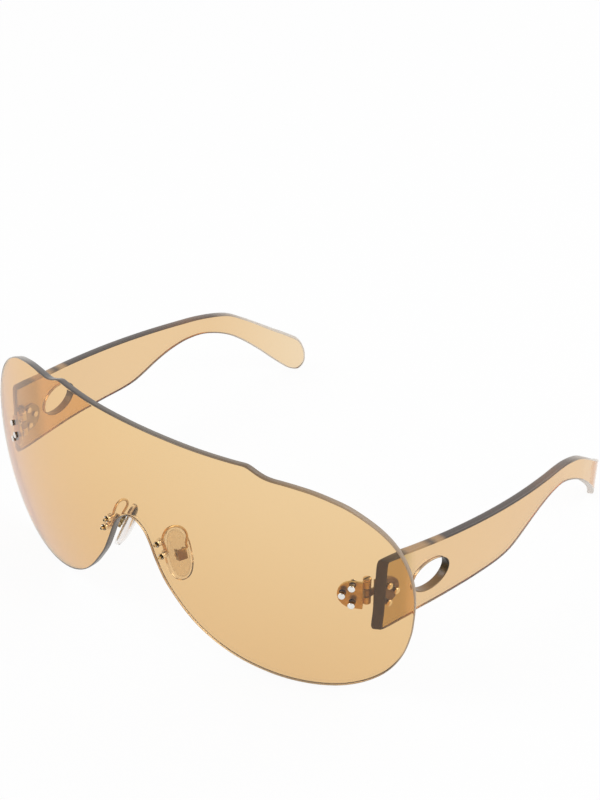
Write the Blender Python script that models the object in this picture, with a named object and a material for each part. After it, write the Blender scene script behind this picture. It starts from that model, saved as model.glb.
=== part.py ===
"""Rimless shield sunglasses: one curved lens, two folding temples and two rocking nose pads.

Metres, +Z up. The front faces -Y, the temples run back along +Y, and the glasses rest on the
lens's two lower lobes and the two temple tips. X is zero on the plane of symmetry.
"""
import math

import bmesh
import bpy
from mathutils import Matrix, Vector
from mathutils.geometry import delaunay_2d_cdt

# Lens
LENS_WIDTH = 0.145
LENS_HEIGHT = 0.062
LENS_THICK = 0.0022
LENS_FRONT_Y = -0.0681
WRAP_RADIUS = 0.1142
UPRIGHT_RADIUS = 0.1405
CREST_HEIGHT = 0.0299
LENS_CHAMFER = 0.0003

# Fits and the fineness of the curves
CLEARANCE = 0.0003
FIT = 0.0002
RUNNING_FIT = 0.0001
OVERRUN = 0.001
OUTLINE_STEP = 0.0024
SHEET_STEP = 0.0075
ROUND_SIDES = 16
SMALL_SIDES = 12
WIRE_SIDES = 8

# Hinge
HINGE_INSET = 0.0107
HINGE_HEIGHT = 0.0311
PLATE_THICK = 0.0008
KNUCKLE_RADIUS = 0.00105
KNUCKLE_STAND = 0.0003
BARREL_HEIGHT = 0.0066
PIN_RADIUS = 0.0005
SCREW_HEAD_RADIUS = 0.0011
SCREW_HEAD_HEIGHT = 0.0006
SLOT_WIDTH = 0.00035
SLOT_DEPTH = 0.0003
SLOT_TURN = math.radians(46)
FRONT_PLATE_LENGTH = 0.0063
FRONT_PLATE_ROOT = 0.0007
FRONT_PLATE_HEIGHT = 0.0077
FRONT_PLATE_LIFT = -0.0001
TEMPLE_PLATE_LENGTH = 0.0066
TEMPLE_PLATE_STAND = 0.0008
TEMPLE_PLATE_HEIGHT = 0.0076
TEMPLE_PLATE_LIFT = -0.0004
NECK_LENGTH = 0.0004

# Rivets
RIVET_RADIUS = 0.0004
RIVET_FIT = 0.0001
RIVET_HEAD_RADIUS = 0.0009
RIVET_HEAD_HEIGHT = 0.0005
RIVET_TAIL_RADIUS = 0.0008
RIVET_TAIL_HEIGHT = 0.0003
LENS_RIVET_NEAR = 0.0032
LENS_RIVET_FAR = 0.0056
LENS_RIVET_SPREAD = 0.0025
LENS_RIVET_LIFT = 0.0005
TEMPLE_RIVET_NEAR = 0.00335
TEMPLE_RIVET_FAR = 0.00575
TEMPLE_RIVET_SPREAD = 0.0025
TEMPLE_RIVET_LIFT = -0.0001

# Temples
TEMPLE_LENGTH = 0.1147
TEMPLE_RISE = 0.0409
TEMPLE_THICK = 0.0024
TEMPLE_ROUND = 0.0005
TEMPLE_END_GAP = 0.0013
MITRE_RUN = 0.006
TIP_START = 0.080
TIP_LEAN = 0.0013
TIP_LEAN_HEIGHT = 0.0184
TIP_THINNING = 0.25
PIERCE_BACK = 0.0160
PIERCE_HEIGHT = 0.0292
PIERCE_LENGTH = 0.0124
PIERCE_WIDTH = 0.0082

# Nose pads
PAD_ASIDE = 0.0014
PAD_BELOW = 0.0057
PAD_BEHIND = 0.0053
PAD_LENGTH = 0.0143
PAD_WIDTH = 0.0072
PAD_THICK = 0.0027
PAD_LIP = 0.0004
CORE_MARGIN = 0.00095
CORE_THICK = 0.0005
TAB_WIDTH = 0.0011
TAB_REACH = 0.0021
TAB_DEPTH = 0.0016
BOX_LENGTH = 0.0028
BOX_WALL = 0.00045
PAD_SCREW_RADIUS = 0.0003
PAD_SCREW_HEAD = 0.0006
PAD_SCREW_HEAD_HEIGHT = 0.0003
WIRE_RADIUS = 0.00033
PRONG_RADIUS = 0.00045
PRONG_PROUD = 0.0009
PRONG_FIT = 0.0001
PRONG_BORE = 0.00033
PRONG_BORE_DEPTH = 0.0005
BUSH_WALL = 0.0002
BUSH_FLANGE = 0.0003
BUSH_PROUD = 0.0002
LOOP_REACH = 0.0069

# Half of the lens's outline from above the nose, round the lobe and up to the nose arch:
# (out, up) as shares of half its width and of its height.
LENS_OUTLINE_SHARES = (
    (0.0, 1.0), (0.12, 0.999), (0.24, 0.996), (0.34, 0.994), (0.4, 0.993), (0.437, 0.992), (0.455, 0.985),
    (0.477, 0.973), (0.503, 0.9615), (0.53, 0.9555), (0.565, 0.9525), (0.61, 0.947), (0.67, 0.9355),
    (0.73, 0.916), (0.781, 0.8935), (0.834, 0.8575), (0.884, 0.8135), (0.924, 0.7645), (0.955, 0.709),
    (0.979, 0.642), (0.995, 0.565), (1.0, 0.49), (0.9975, 0.415), (0.99, 0.3435), (0.9625, 0.233),
    (0.913, 0.137), (0.848, 0.07), (0.777, 0.0275), (0.705, 0.0065), (0.632, 0.0), (0.559, 0.0055),
    (0.487, 0.024), (0.418, 0.0515), (0.352, 0.092), (0.291, 0.143), (0.236, 0.205), (0.188, 0.276),
    (0.1435, 0.352), (0.109, 0.437), (0.083, 0.51), (0.065, 0.547), (0.0515, 0.564), (0.037, 0.577),
    (0.0195, 0.587), (0.0, 0.5905),
)
# Side view of a temple: (back, up) as shares of its length and of its front's height.
TEMPLE_OUTLINE_SHARES = (
    (0.0055, 0.98), (0.0085, 0.998), (0.02, 0.9995), (0.1, 0.9665), (0.22, 0.919), (0.35, 0.8685),
    (0.48, 0.818), (0.59, 0.775), (0.66, 0.747), (0.72, 0.708), (0.77, 0.6575), (0.825, 0.565),
    (0.8745, 0.472), (0.918, 0.389), (0.96, 0.3105), (0.986, 0.253), (0.997, 0.183), (1.0, 0.112),
    (0.9955, 0.044), (0.98, 0.0), (0.957, 0.0195), (0.9335, 0.076), (0.861, 0.274), (0.769, 0.479),
    (0.68, 0.5915), (0.6215, 0.609), (0.576, 0.5965), (0.536, 0.572), (0.4995, 0.5405), (0.4645, 0.506),
    (0.428, 0.477), (0.387, 0.467), (0.298, 0.477), (0.2135, 0.4905), (0.135, 0.4995), (0.06, 0.5075),
    (0.012, 0.5105), (-0.0015, 0.517), (-0.0045, 0.537), (-0.0015, 0.65), (0.002, 0.82),
)
# Plan of a temple's outer face: (back, out from the front end), as shares of its length.
TEMPLE_PLAN_SHARES = (
    (-0.02, -0.0035), (0.0, 0.0), (0.09, 0.0153), (0.19, 0.0288), (0.3, 0.0371), (0.4, 0.0392),
    (0.5, 0.0357), (0.6, 0.027), (0.7, 0.0144), (0.8, 0.0031), (0.88, -0.0131), (0.94, -0.0375),
    (1.0, -0.0697), (1.02, -0.0815),
)
# Where the upper and the lower prong pass through the lens, as shares of half its width and of its height.
PRONG_SHARES = ((0.12, 0.521), (0.138, 0.47))
# The way a pad faces and the way its length runs, on the right-hand side.
PAD_FACES = Vector((-0.836, 0.368, -0.406)).normalized()
PAD_RUNS = Vector((0.384, -0.135, -0.915)).normalized()
# The wire's loop from the upper prong, as shares of its reach: (out, back, up).
LOOP_SHARES = (
    (0.0, 0.0, 0.0), (0.0, 0.09, 0.22), (0.03, 0.28, 0.38), (0.11, 0.6, 0.34), (0.19, 0.9, 0.1),
    (0.275, 0.99, -0.2), (0.37, 0.84, -0.5),
)

UP = Vector((0, 0, 1))


def clear_scene():
    for item in list(bpy.data.objects):
        bpy.data.objects.remove(item, do_unlink=True)


def material(name, colour, roughness, metallic=0.0, transmission=0.0):
    made = bpy.data.materials.new(name)
    made.use_nodes = True
    shader = made.node_tree.nodes["Principled BSDF"]
    shader.inputs["Base Color"].default_value = (*colour, 1.0)
    shader.inputs["Roughness"].default_value = roughness
    shader.inputs["Metallic"].default_value = metallic
    shader.inputs["Transmission Weight"].default_value = transmission
    return made


def smooth_curve(points, step, closed=True):
    """Points about one step apart on a centripetal Catmull-Rom curve through the given ones."""
    points = [Vector(p) for p in points]
    count = len(points)
    if not closed:
        points = [2 * points[0] - points[1], *points, 2 * points[-1] - points[-2]]
    curve = []
    for i in range(count if closed else count - 1):
        first = i - 1 if closed else i
        corners = [points[(first + k) % len(points)] for k in range(4)]
        knots = [0.0]
        for a, b in zip(corners, corners[1:]):
            knots.append(knots[-1] + math.sqrt((b - a).length))
        pieces = max(1, round((corners[2] - corners[1]).length / step))
        for k in range(pieces):
            t = knots[1] + (knots[2] - knots[1]) * k / pieces
            curve.append(blended(corners, knots, t))
    if not closed:
        curve.append(points[-2].copy())
    return curve


def blended(corners, knots, t):
    """One point of the curve between the middle two corners, by Barry and Goldman's pyramid."""
    level = corners
    for spans in (((0, 1), (1, 2), (2, 3)), ((0, 2), (1, 3)), ((1, 2),)):
        level = [
            (a * (knots[end] - t) + b * (t - knots[start])) / (knots[end] - knots[start])
            for a, b, (start, end) in zip(level, level[1:], spans)
        ]
    return level[0]


def inside(point, loop):
    within = False
    for a, b in zip(loop, loop[1:] + loop[:1]):
        if (a.y > point.y) != (b.y > point.y):
            within ^= point.x < a.x + (b.x - a.x) * (point.y - a.y) / (b.y - a.y)
    return within


def shrunk(loop, inset):
    """The loop drawn in by an inset, along its own normals."""
    area = sum(a.cross(b) for a, b in zip(loop, loop[1:] + loop[:1]))
    turn = 1 if area > 0 else -1
    drawn = []
    for i, point in enumerate(loop):
        run = (loop[(i + 1) % len(loop)] - loop[i - 1]).normalized()
        drawn.append(point + Vector((-run.y, run.x)) * turn * inset)
    return drawn


def flat_sheet(outline, holes, step):
    """2-D points and triangles that fill an outline round its holes; the loops' points come first."""
    loops = [outline, *holes]
    points = [p / step for loop in loops for p in loop]
    edges = []
    start = 0
    for loop in loops:
        edges += [(start + i, start + (i + 1) % len(loop)) for i in range(len(loop))]
        start += len(loop)
    rims = list(points)
    rim_loops = [[p / step for p in loop] for loop in loops]
    across = [p.x for p in rims]
    upward = [p.y for p in rims]
    for i in range(math.floor(min(across)), math.ceil(max(across)) + 1):
        for j in range(math.floor(min(upward)), math.ceil(max(upward)) + 1):
            spot = Vector((i + 0.5 * (j % 2), j))
            clear = all((spot - rim).length > 0.45 for rim in rims)
            if clear and inside(spot, rim_loops[0]) and not any(inside(spot, h) for h in rim_loops[1:]):
                points.append(spot)
    _, _, faces, origins, _, _ = delaunay_2d_cdt(points, edges, [], 0, 1e-6)
    order = [origin[0] for origin in origins]
    triangles = []
    for face in faces:
        corners = [order[v] for v in face]
        middle = sum((points[v] for v in corners), Vector((0, 0))) / len(corners)
        if inside(middle, rim_loops[0]) and not any(inside(middle, h) for h in rim_loops[1:]):
            triangles.append(corners)
    return [p * step for p in points], triangles


def slab(outline, holes, surface, thick, edge=0.0, edge_steps=1, step=SHEET_STEP):
    """A sheet of even thickness on surface(point, depth), with its outer edges rounded or eased."""
    points, triangles = flat_sheet(shrunk(outline, edge), holes, step)
    mesh = bmesh.new()
    front = [mesh.verts.new(surface(p, 0.0)) for p in points]
    rear = [mesh.verts.new(surface(p, thick)) for p in points]
    for corners in triangles:
        mesh.faces.new([front[v] for v in corners])
        mesh.faces.new([rear[v] for v in reversed(corners)])
    turns = [0.5 * math.pi * k / edge_steps for k in range(1, edge_steps + 1)] if edge else []
    easing = [(edge * (1 - math.sin(t)), edge * (1 - math.cos(t))) for t in turns]
    easing += [(inset, thick - depth) for inset, depth in reversed(easing)]
    rings = [front[: len(outline)]]
    for inset, depth in easing:
        rings.append([mesh.verts.new(surface(p, depth)) for p in shrunk(outline, inset)])
    rings.append(rear[: len(outline)])
    bridge(mesh, rings)
    start = len(outline)
    for hole in holes:
        bridge(mesh, [front[start : start + len(hole)], rear[start : start + len(hole)]])
        start += len(hole)
    return finished(mesh)


def bridge(mesh, rings):
    for near, far in zip(rings, rings[1:]):
        for i in range(len(near)):
            j = (i + 1) % len(near)
            mesh.faces.new((near[i], near[j], far[j], far[i]))


def finished(mesh):
    bmesh.ops.recalc_face_normals(mesh, faces=mesh.faces)
    made = bpy.data.meshes.new("shape")
    mesh.to_mesh(made)
    mesh.free()
    return made


def stacked(rings):
    """A closed solid through rings of equal count; a ring of one point is a pole."""
    mesh = bmesh.new()
    made = [[mesh.verts.new(p) for p in ring] for ring in rings]
    for near, far in zip(made, made[1:]):
        count = max(len(near), len(far))
        for i in range(count):
            j = (i + 1) % count
            corners = [near[i % len(near)], near[j % len(near)], far[j % len(far)], far[i % len(far)]]
            mesh.faces.new(list(dict.fromkeys(corners)))
    for ring in (made[0], made[-1]):
        if len(ring) > 1:
            mesh.faces.new(ring)
    return finished(mesh)


def turned(frame, profile, sides=ROUND_SIDES):
    """A solid turned round the frame's Z axis from (radius, height) points."""
    rings = []
    for radius, height in profile:
        if radius == 0:
            rings.append([frame @ Vector((0, 0, height))])
            continue
        angles = [2 * math.pi * k / sides for k in range(sides)]
        rings.append([frame @ Vector((radius * math.cos(a), radius * math.sin(a), height)) for a in angles])
    return stacked(rings)


def sleeve(frame, profile, sides=SMALL_SIDES):
    """A turned ring: its profile is closed and never meets the axis."""
    mesh = bmesh.new()
    rings = []
    for radius, height in profile:
        angles = [2 * math.pi * k / sides for k in range(sides)]
        spots = [frame @ Vector((radius * math.cos(a), radius * math.sin(a), height)) for a in angles]
        rings.append([mesh.verts.new(p) for p in spots])
    bridge(mesh, [*rings, rings[0]])
    return finished(mesh)


def tube(path, radius, sides=WIRE_SIDES):
    """A round wire along a path, its rings turned as little as the path allows."""
    heading = (path[1] - path[0]).normalized()
    side = heading.orthogonal().normalized()
    rings = []
    for i, point in enumerate(path):
        ahead = (path[min(i + 1, len(path) - 1)] - path[max(i - 1, 0)]).normalized()
        side = (side - ahead * side.dot(ahead)).normalized()
        other = ahead.cross(side)
        angles = [2 * math.pi * k / sides for k in range(sides)]
        rings.append([point + radius * (math.cos(a) * side + math.sin(a) * other) for a in angles])
    return stacked(rings)


def block(frame, low, high):
    """A box between two corners of a frame."""
    lower, upper = Vector(low), Vector(high)
    spots = [(lower.x, lower.y), (upper.x, lower.y), (upper.x, upper.y), (lower.x, upper.y)]
    return stacked([[frame @ Vector((x, y, z)) for x, y in spots] for z in (lower.z, upper.z)])


def combined(base, others, operation):
    """The base mesh joined to, or cut by, the others."""
    host = bpy.data.objects.new("host", base)
    bpy.context.scene.collection.objects.link(host)
    helpers = [host]
    for mesh in others:
        helper = bpy.data.objects.new("helper", mesh)
        bpy.context.scene.collection.objects.link(helper)
        helpers.append(helper)
        change = host.modifiers.new(operation.lower(), "BOOLEAN")
        change.operation = operation
        change.solver = "EXACT"
        change.object = helper
    made = bpy.data.meshes.new_from_object(host.evaluated_get(bpy.context.evaluated_depsgraph_get()))
    for helper in helpers:
        bpy.data.objects.remove(helper, do_unlink=True)
    return made


def frame_from(origin, across, along, up):
    """A placement whose X, Y and Z run along the given directions."""
    return Matrix((
        (across.x, along.x, up.x, origin.x),
        (across.y, along.y, up.y, origin.y),
        (across.z, along.z, up.z, origin.z),
        (0, 0, 0, 1),
    ))


def axis_frame(origin, direction):
    """A placement whose Z runs along a direction."""
    across = direction.orthogonal().normalized()
    return frame_from(origin, across, direction.cross(across), direction)


def circle(centre, radius, sides=SMALL_SIDES):
    angles = [2 * math.pi * k / sides for k in range(sides)]
    return [centre + radius * Vector((math.cos(a), math.sin(a))) for a in angles]


def publish(name, mesh, finish, side=1, origin=None):
    """A finished object; side -1 mirrors it to the left. Its own origin can sit on a joint's axis."""
    flip = Matrix.Diagonal((side, 1, 1, 1))
    pivot = flip @ origin if origin is not None else Vector((0, 0, 0))
    made = mesh.copy()
    made.transform(Matrix.Translation(-pivot) @ flip)
    if side < 0:
        made.flip_normals()
    made.materials.clear()
    made.materials.append(finish)
    made.shade_smooth()
    made.set_sharp_from_angle(angle=math.radians(35))
    item = bpy.data.objects.new(name, made)
    item.location = pivot
    bpy.context.scene.collection.objects.link(item)
    return item


def lens_point(x, z, depth=0.0):
    """A point of the lens: a wide curve from side to side and a flatter one up and down."""
    y = LENS_FRONT_Y + x * x / (2 * WRAP_RADIUS) + (z - CREST_HEIGHT) ** 2 / (2 * UPRIGHT_RADIUS)
    return Vector((x, y, z)) + depth * lens_normal(x, z)


def lens_normal(x, z):
    """The way from the lens's front face to its rear one."""
    return Vector((-x / WRAP_RADIUS, 1, -(z - CREST_HEIGHT) / UPRIGHT_RADIUS)).normalized()


def behind_lens(x, z):
    """The point of the lens's rear face straight behind its front face's x and z."""
    start = x
    for _ in range(4):
        start += x - lens_point(start, z, LENS_THICK).x
    return lens_point(start, z, LENS_THICK)


def lens_outline():
    half = [Vector((out * LENS_WIDTH / 2, up * LENS_HEIGHT)) for out, up in LENS_OUTLINE_SHARES]
    mirrored = [Vector((-p.x, p.y)) for p in reversed(half[1:-1])]
    return smooth_curve(half + mirrored, OUTLINE_STEP)


def hinge_frame():
    """The hinge axis is this frame's Z. X runs outwards along the lens, and Y away from it."""
    foot = LENS_WIDTH / 2 - HINGE_INSET
    away = lens_normal(foot, CREST_HEIGHT)
    reach = abs(HINGE_HEIGHT + FRONT_PLATE_LIFT - CREST_HEIGHT) + FRONT_PLATE_HEIGHT / 2
    sag = reach * reach / (2 * UPRIGHT_RADIUS)
    gap = max(FIT, sag + RUNNING_FIT)
    stand = LENS_THICK + gap + PLATE_THICK + KNUCKLE_STAND + KNUCKLE_RADIUS
    axis = lens_point(foot, CREST_HEIGHT) + stand * away
    return frame_from(Vector((axis.x, axis.y, HINGE_HEIGHT)), away.cross(UP), away, UP)


def front_plate_face():
    """How far in front of the hinge axis the front plate's lens side lies."""
    return KNUCKLE_RADIUS + KNUCKLE_STAND + PLATE_THICK


def lens_rivet_spots():
    """Where the rivets stand on the front plate, in the hinge frame's X and Z."""
    top = LENS_RIVET_LIFT + LENS_RIVET_SPREAD
    foot = LENS_RIVET_LIFT - LENS_RIVET_SPREAD
    return [(-LENS_RIVET_NEAR, top), (-LENS_RIVET_FAR, LENS_RIVET_LIFT), (-LENS_RIVET_NEAR, foot)]


def lens_under(frame, across, up):
    """Where a line along the hinge frame's Y meets the lens's front, as the lens's own x and z."""
    spot = frame @ Vector((across, -front_plate_face() - LENS_THICK, up))
    away = frame.to_3x3() @ Vector((0, 1, 0))
    for _ in range(4):
        spot += away * (lens_point(spot.x, spot.z).y - spot.y) * away.y
    return spot


def prong_spots():
    return [(out * LENS_WIDTH / 2, up * LENS_HEIGHT) for out, up in PRONG_SHARES]


def make_lens(finish):
    outline = lens_outline()
    hinge = hinge_frame()
    holes = []
    for side in (1, -1):
        for across, up in lens_rivet_spots():
            spot = lens_under(hinge, across, up)
            holes.append(circle(Vector((side * spot.x, spot.z)), RIVET_RADIUS + CLEARANCE))
        for out, height in prong_spots():
            holes.append(circle(Vector((side * out, height)), bush_radius() + PRONG_FIT))
    mesh = slab(outline, holes, lambda p, depth: lens_point(p.x, p.y, depth), LENS_THICK, LENS_CHAMFER)
    publish("lens_shield", mesh, finish)


def plate_outline(length, height):
    """A tongue from its square end at zero to its half-round end."""
    radius = height / 2
    turns = [-math.pi / 2 + math.pi * k / SMALL_SIDES for k in range(SMALL_SIDES + 1)]
    tip = [Vector((length - radius + radius * math.cos(t), radius * math.sin(t))) for t in turns]
    return [Vector((0, -radius)), *tip, Vector((0, radius))]


def barrel_spans():
    """Lower front knuckle, temple knuckle and upper front knuckle, from bottom to top."""
    knuckle = (BARREL_HEIGHT - 2 * FIT) / 3
    starts = [-BARREL_HEIGHT / 2 + k * (knuckle + FIT) for k in range(3)]
    return [(start, start + knuckle) for start in starts]


def knuckle(frame, low, high):
    return turned(frame, [(KNUCKLE_RADIUS, low), (KNUCKLE_RADIUS, high)])


def screw_bore(frame):
    reach = BARREL_HEIGHT / 2 + OVERRUN
    return turned(frame, [(PIN_RADIUS + RUNNING_FIT, -reach), (PIN_RADIUS + RUNNING_FIT, reach)])


def front_plate(frame):
    """The plate behind the lens, with the upper and lower knuckles of the barrel."""
    face = front_plate_face()
    root = FRONT_PLATE_ROOT
    bore = RIVET_RADIUS + RIVET_FIT
    holes = [circle(Vector((-x - root, z - FRONT_PLATE_LIFT)), bore) for x, z in lens_rivet_spots()]

    def surface(p, depth):
        return frame @ Vector((-root - p.x, depth - face, p.y + FRONT_PLATE_LIFT))

    plate = slab(plate_outline(FRONT_PLATE_LENGTH, FRONT_PLATE_HEIGHT), holes, surface, PLATE_THICK)
    lower, _, upper = barrel_spans()
    additions = []
    for low, high in (lower, upper):
        additions.append(knuckle(frame, low, high))
        neck = ((-root - NECK_LENGTH, FIT - face, low), (-KNUCKLE_RADIUS / 3, -KNUCKLE_RADIUS / 3, high))
        additions.append(block(frame, *neck))
    plate = combined(plate, additions, "UNION")
    return combined(plate, [screw_bore(frame)], "DIFFERENCE")


def hinge_screw(frame):
    top = BARREL_HEIGHT / 2 + FIT
    crown = top + SCREW_HEAD_HEIGHT
    profile = [
        (0, -BARREL_HEIGHT / 2),
        (PIN_RADIUS, -BARREL_HEIGHT / 2),
        (PIN_RADIUS, top),
        (SCREW_HEAD_RADIUS, top),
        (SCREW_HEAD_RADIUS, top + SCREW_HEAD_HEIGHT / 2),
        (SCREW_HEAD_RADIUS * 0.75, top + SCREW_HEAD_HEIGHT * 0.9),
        (0, crown),
    ]
    slot = block(
        frame @ Matrix.Rotation(SLOT_TURN, 4, "Z"),
        (-SCREW_HEAD_RADIUS - OVERRUN, -SLOT_WIDTH / 2, crown - SLOT_DEPTH),
        (SCREW_HEAD_RADIUS + OVERRUN, SLOT_WIDTH / 2, crown + OVERRUN),
    )
    return combined(turned(frame, profile), [slot], "DIFFERENCE")


def rivet(frame, stack):
    """A domed head above the frame's zero, and a shank through the stack to its upset tail."""
    tail = -stack - FIT
    profile = [
        (0, tail - RIVET_TAIL_HEIGHT),
        (RIVET_TAIL_RADIUS * 0.8, tail - RIVET_TAIL_HEIGHT),
        (RIVET_TAIL_RADIUS, tail - RIVET_TAIL_HEIGHT / 2),
        (RIVET_TAIL_RADIUS, tail),
        (RIVET_RADIUS, tail),
        (RIVET_RADIUS, FIT),
        (RIVET_HEAD_RADIUS, FIT),
        (RIVET_HEAD_RADIUS, FIT + RIVET_HEAD_HEIGHT * 0.4),
        (RIVET_HEAD_RADIUS * 0.72, FIT + RIVET_HEAD_HEIGHT * 0.85),
        (0, FIT + RIVET_HEAD_HEIGHT),
    ]
    return turned(frame, profile, SMALL_SIDES)


def make_front_hinge(side, name, steel, silver):
    frame = hinge_frame()
    publish(f"front_hinge_plate_{name}", front_plate(frame), steel, side)
    publish(f"hinge_screw_{name}", hinge_screw(frame), steel, side)
    away = frame.to_3x3() @ Vector((0, 1, 0))
    for place, (across, up) in zip(("upper", "inner", "lower"), lens_rivet_spots()):
        spot = lens_under(frame, across, up)
        face = frame @ Vector((across, -front_plate_face() + PLATE_THICK, up))
        stack = (face - spot).dot(away)
        publish(f"lens_rivet_{place}_{name}", rivet(axis_frame(spot, -away), stack), silver, side)


def temple_plan():
    """Outer face of a temple in plan, as (back, out) from its front end."""
    points = [Vector((back, out)) * TEMPLE_LENGTH for back, out in TEMPLE_PLAN_SHARES]
    return smooth_curve(points, OUTLINE_STEP, closed=False)


def plan_at(plan, back):
    """How far out the face lies and how it slopes, that far back."""
    for a, b in zip(plan, plan[1:]):
        if back <= b.x:
            break
    slope = (b.y - a.y) / (b.x - a.x)
    return a.y + (back - a.x) * slope, slope


def temple_frame(hinge, plan):
    """The temple's plate lies in this frame: X outwards, Y back along the temple, from the hinge axis."""
    _, slope = plan_at(plan, TEMPLE_PLATE_LENGTH / 2)
    back = Vector((slope, 1, 0)).normalized()
    return frame_from(hinge.translation, back.cross(UP), back, UP)


def temple_face():
    """From the hinge axis out to the temple's outer face."""
    return TEMPLE_PLATE_STAND + PLATE_THICK + FIT + TEMPLE_THICK


def temple_front(hinge, plan):
    """Where the outer face meets the front end: behind the lens by the end gap."""
    frame = temple_frame(hinge, plan)
    start = frame @ Vector((temple_face(), 0, 0))
    y = behind_lens(start.x, HINGE_HEIGHT).y + TEMPLE_END_GAP
    along = frame.to_3x3() @ Vector((0, 1, 0))
    return start + along * ((y - start.y) / along.y)


def temple_surface(hinge, plan):
    front = temple_front(hinge, plan)
    level, _ = plan_at(plan, 0.0)
    wrap = front.x / WRAP_RADIUS

    def surface(p, depth):
        out, slope = plan_at(plan, p.x)
        into = Vector((-1, slope, 0)).normalized()
        mitre = depth * (wrap + slope) * max(0.0, 1 - max(p.x, 0.0) / MITRE_RUN)
        tip = max(0.0, p.x - TIP_START) / (TEMPLE_LENGTH - TIP_START)
        lean = TIP_LEAN * tip * tip * max(0.0, 1 - p.y / TIP_LEAN_HEIGHT)
        spot = Vector((front.x + out - level - lean, front.y + p.x - mitre, p.y))
        return spot + depth * (1 - TIP_THINNING * tip) * into

    return surface


def temple_rivet_spots():
    """Where the rivets stand, in the temple frame's Y and Z."""
    top = TEMPLE_RIVET_LIFT + TEMPLE_RIVET_SPREAD
    foot = TEMPLE_RIVET_LIFT - TEMPLE_RIVET_SPREAD
    return [(TEMPLE_RIVET_NEAR, top), (TEMPLE_RIVET_FAR, TEMPLE_RIVET_LIFT), (TEMPLE_RIVET_NEAR, foot)]


def temple_mesh(hinge, plan):
    outline = smooth_curve(
        [Vector((back * TEMPLE_LENGTH, up * TEMPLE_RISE)) for back, up in TEMPLE_OUTLINE_SHARES], OUTLINE_STEP
    )
    centre = Vector((PIERCE_BACK, PIERCE_HEIGHT))
    turns = [math.pi * k / ROUND_SIDES for k in range(2 * ROUND_SIDES)]
    piercing = [Vector((PIERCE_LENGTH / 2 * math.cos(t), PIERCE_WIDTH / 2 * math.sin(t))) for t in turns]
    piercing = [centre + p for p in piercing]
    body = slab(outline, [piercing], temple_surface(hinge, plan), TEMPLE_THICK, TEMPLE_ROUND, 2)
    frame = temple_frame(hinge, plan)
    outwards = frame.to_3x3() @ Vector((1, 0, 0))
    bores = []
    for along, up in temple_rivet_spots():
        start = axis_frame(frame @ Vector((temple_face(), along, up)), outwards)
        radius = RIVET_RADIUS + FIT
        bores.append(turned(start, [(radius, -TEMPLE_THICK - OVERRUN), (radius, OVERRUN)], SMALL_SIDES))
    return combined(body, bores, "DIFFERENCE")


def temple_plate(frame):
    """The plate inside the temple, with the barrel's middle knuckle."""
    root = KNUCKLE_RADIUS + CLEARANCE
    bore = RIVET_RADIUS + RIVET_FIT
    holes = [circle(Vector((y - root, z - TEMPLE_PLATE_LIFT)), bore) for y, z in temple_rivet_spots()]

    def surface(p, depth):
        return frame @ Vector((TEMPLE_PLATE_STAND + depth, root + p.x, p.y + TEMPLE_PLATE_LIFT))

    plate = slab(plate_outline(TEMPLE_PLATE_LENGTH, TEMPLE_PLATE_HEIGHT), holes, surface, PLATE_THICK)
    _, (low, high), _ = barrel_spans()
    inner = TEMPLE_PLATE_STAND + PLATE_THICK / 2
    neck = block(frame, (KNUCKLE_RADIUS / 4, 0, low), (inner, root + NECK_LENGTH, high))
    plate = combined(plate, [knuckle(frame, low, high), neck], "UNION")
    return combined(plate, [screw_bore(frame)], "DIFFERENCE")


def make_temple(side, name, acetate, steel, gold):
    plan = temple_plan()
    hinge = hinge_frame()
    frame = temple_frame(hinge, plan)
    axis = hinge.translation
    publish(f"temple_{name}", temple_mesh(hinge, plan), acetate, side, axis)
    publish(f"temple_hinge_plate_{name}", temple_plate(frame), steel, side, axis)
    outwards = frame.to_3x3() @ Vector((1, 0, 0))
    stack = TEMPLE_THICK + FIT + PLATE_THICK
    for place, (along, up) in zip(("upper", "rear", "lower"), temple_rivet_spots()):
        spot = frame @ Vector((temple_face(), along, up))
        publish(f"temple_rivet_{place}_{name}", rivet(axis_frame(spot, outwards), stack), gold, side, axis)


def pad_frame():
    """A pad's back lies in this frame's XZ plane: Y points at the nose and Z up along the pad."""
    out, height = prong_spots()[0]
    behind = lens_point(out + PAD_ASIDE, height - PAD_BELOW, LENS_THICK)
    up = -PAD_RUNS
    across = PAD_FACES.cross(up).normalized()
    return frame_from(behind + Vector((0, PAD_BEHIND, 0)), across, PAD_FACES, across.cross(PAD_FACES))


def oval(frame, width, length, depth):
    """A ring of a pad: an oval with full shoulders."""
    ring = []
    for k in range(2 * SMALL_SIDES):
        turn = math.pi * k / SMALL_SIDES
        c, s = math.cos(turn), math.sin(turn)
        x = math.copysign(abs(c) ** 0.85, c) * width / 2
        z = math.copysign(abs(s) ** 0.85, s) * length / 2
        ring.append(frame @ Vector((x, depth, z)))
    return ring


def core_size():
    return PAD_WIDTH - 2 * CORE_MARGIN, PAD_LENGTH - 2 * CORE_MARGIN


def nose_pad(frame):
    """A soft crowned pad, with a pocket in its back for the core."""
    core_width, core_length = core_size()
    pocket = CORE_THICK + FIT
    shoulder = 0.35 * PAD_THICK
    rings = [
        [frame @ Vector((0, pocket, 0))],
        oval(frame, core_width + 2 * FIT, core_length + 2 * FIT, pocket),
        oval(frame, core_width + 2 * FIT, core_length + 2 * FIT, 0.0),
        oval(frame, PAD_WIDTH - 2 * PAD_LIP, PAD_LENGTH - 2 * PAD_LIP, 0.0),
        oval(frame, PAD_WIDTH, PAD_LENGTH, PAD_LIP),
        oval(frame, PAD_WIDTH, PAD_LENGTH, shoulder),
    ]
    for k in range(1, 5):
        turn = math.pi / 2 * k / 5
        rise = shoulder + (PAD_THICK - shoulder) * math.sin(turn)
        rings.append(oval(frame, PAD_WIDTH * math.cos(turn), PAD_LENGTH * math.cos(turn), rise))
    rings.append([frame @ Vector((0, PAD_THICK, 0))])
    return stacked(rings)


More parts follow.
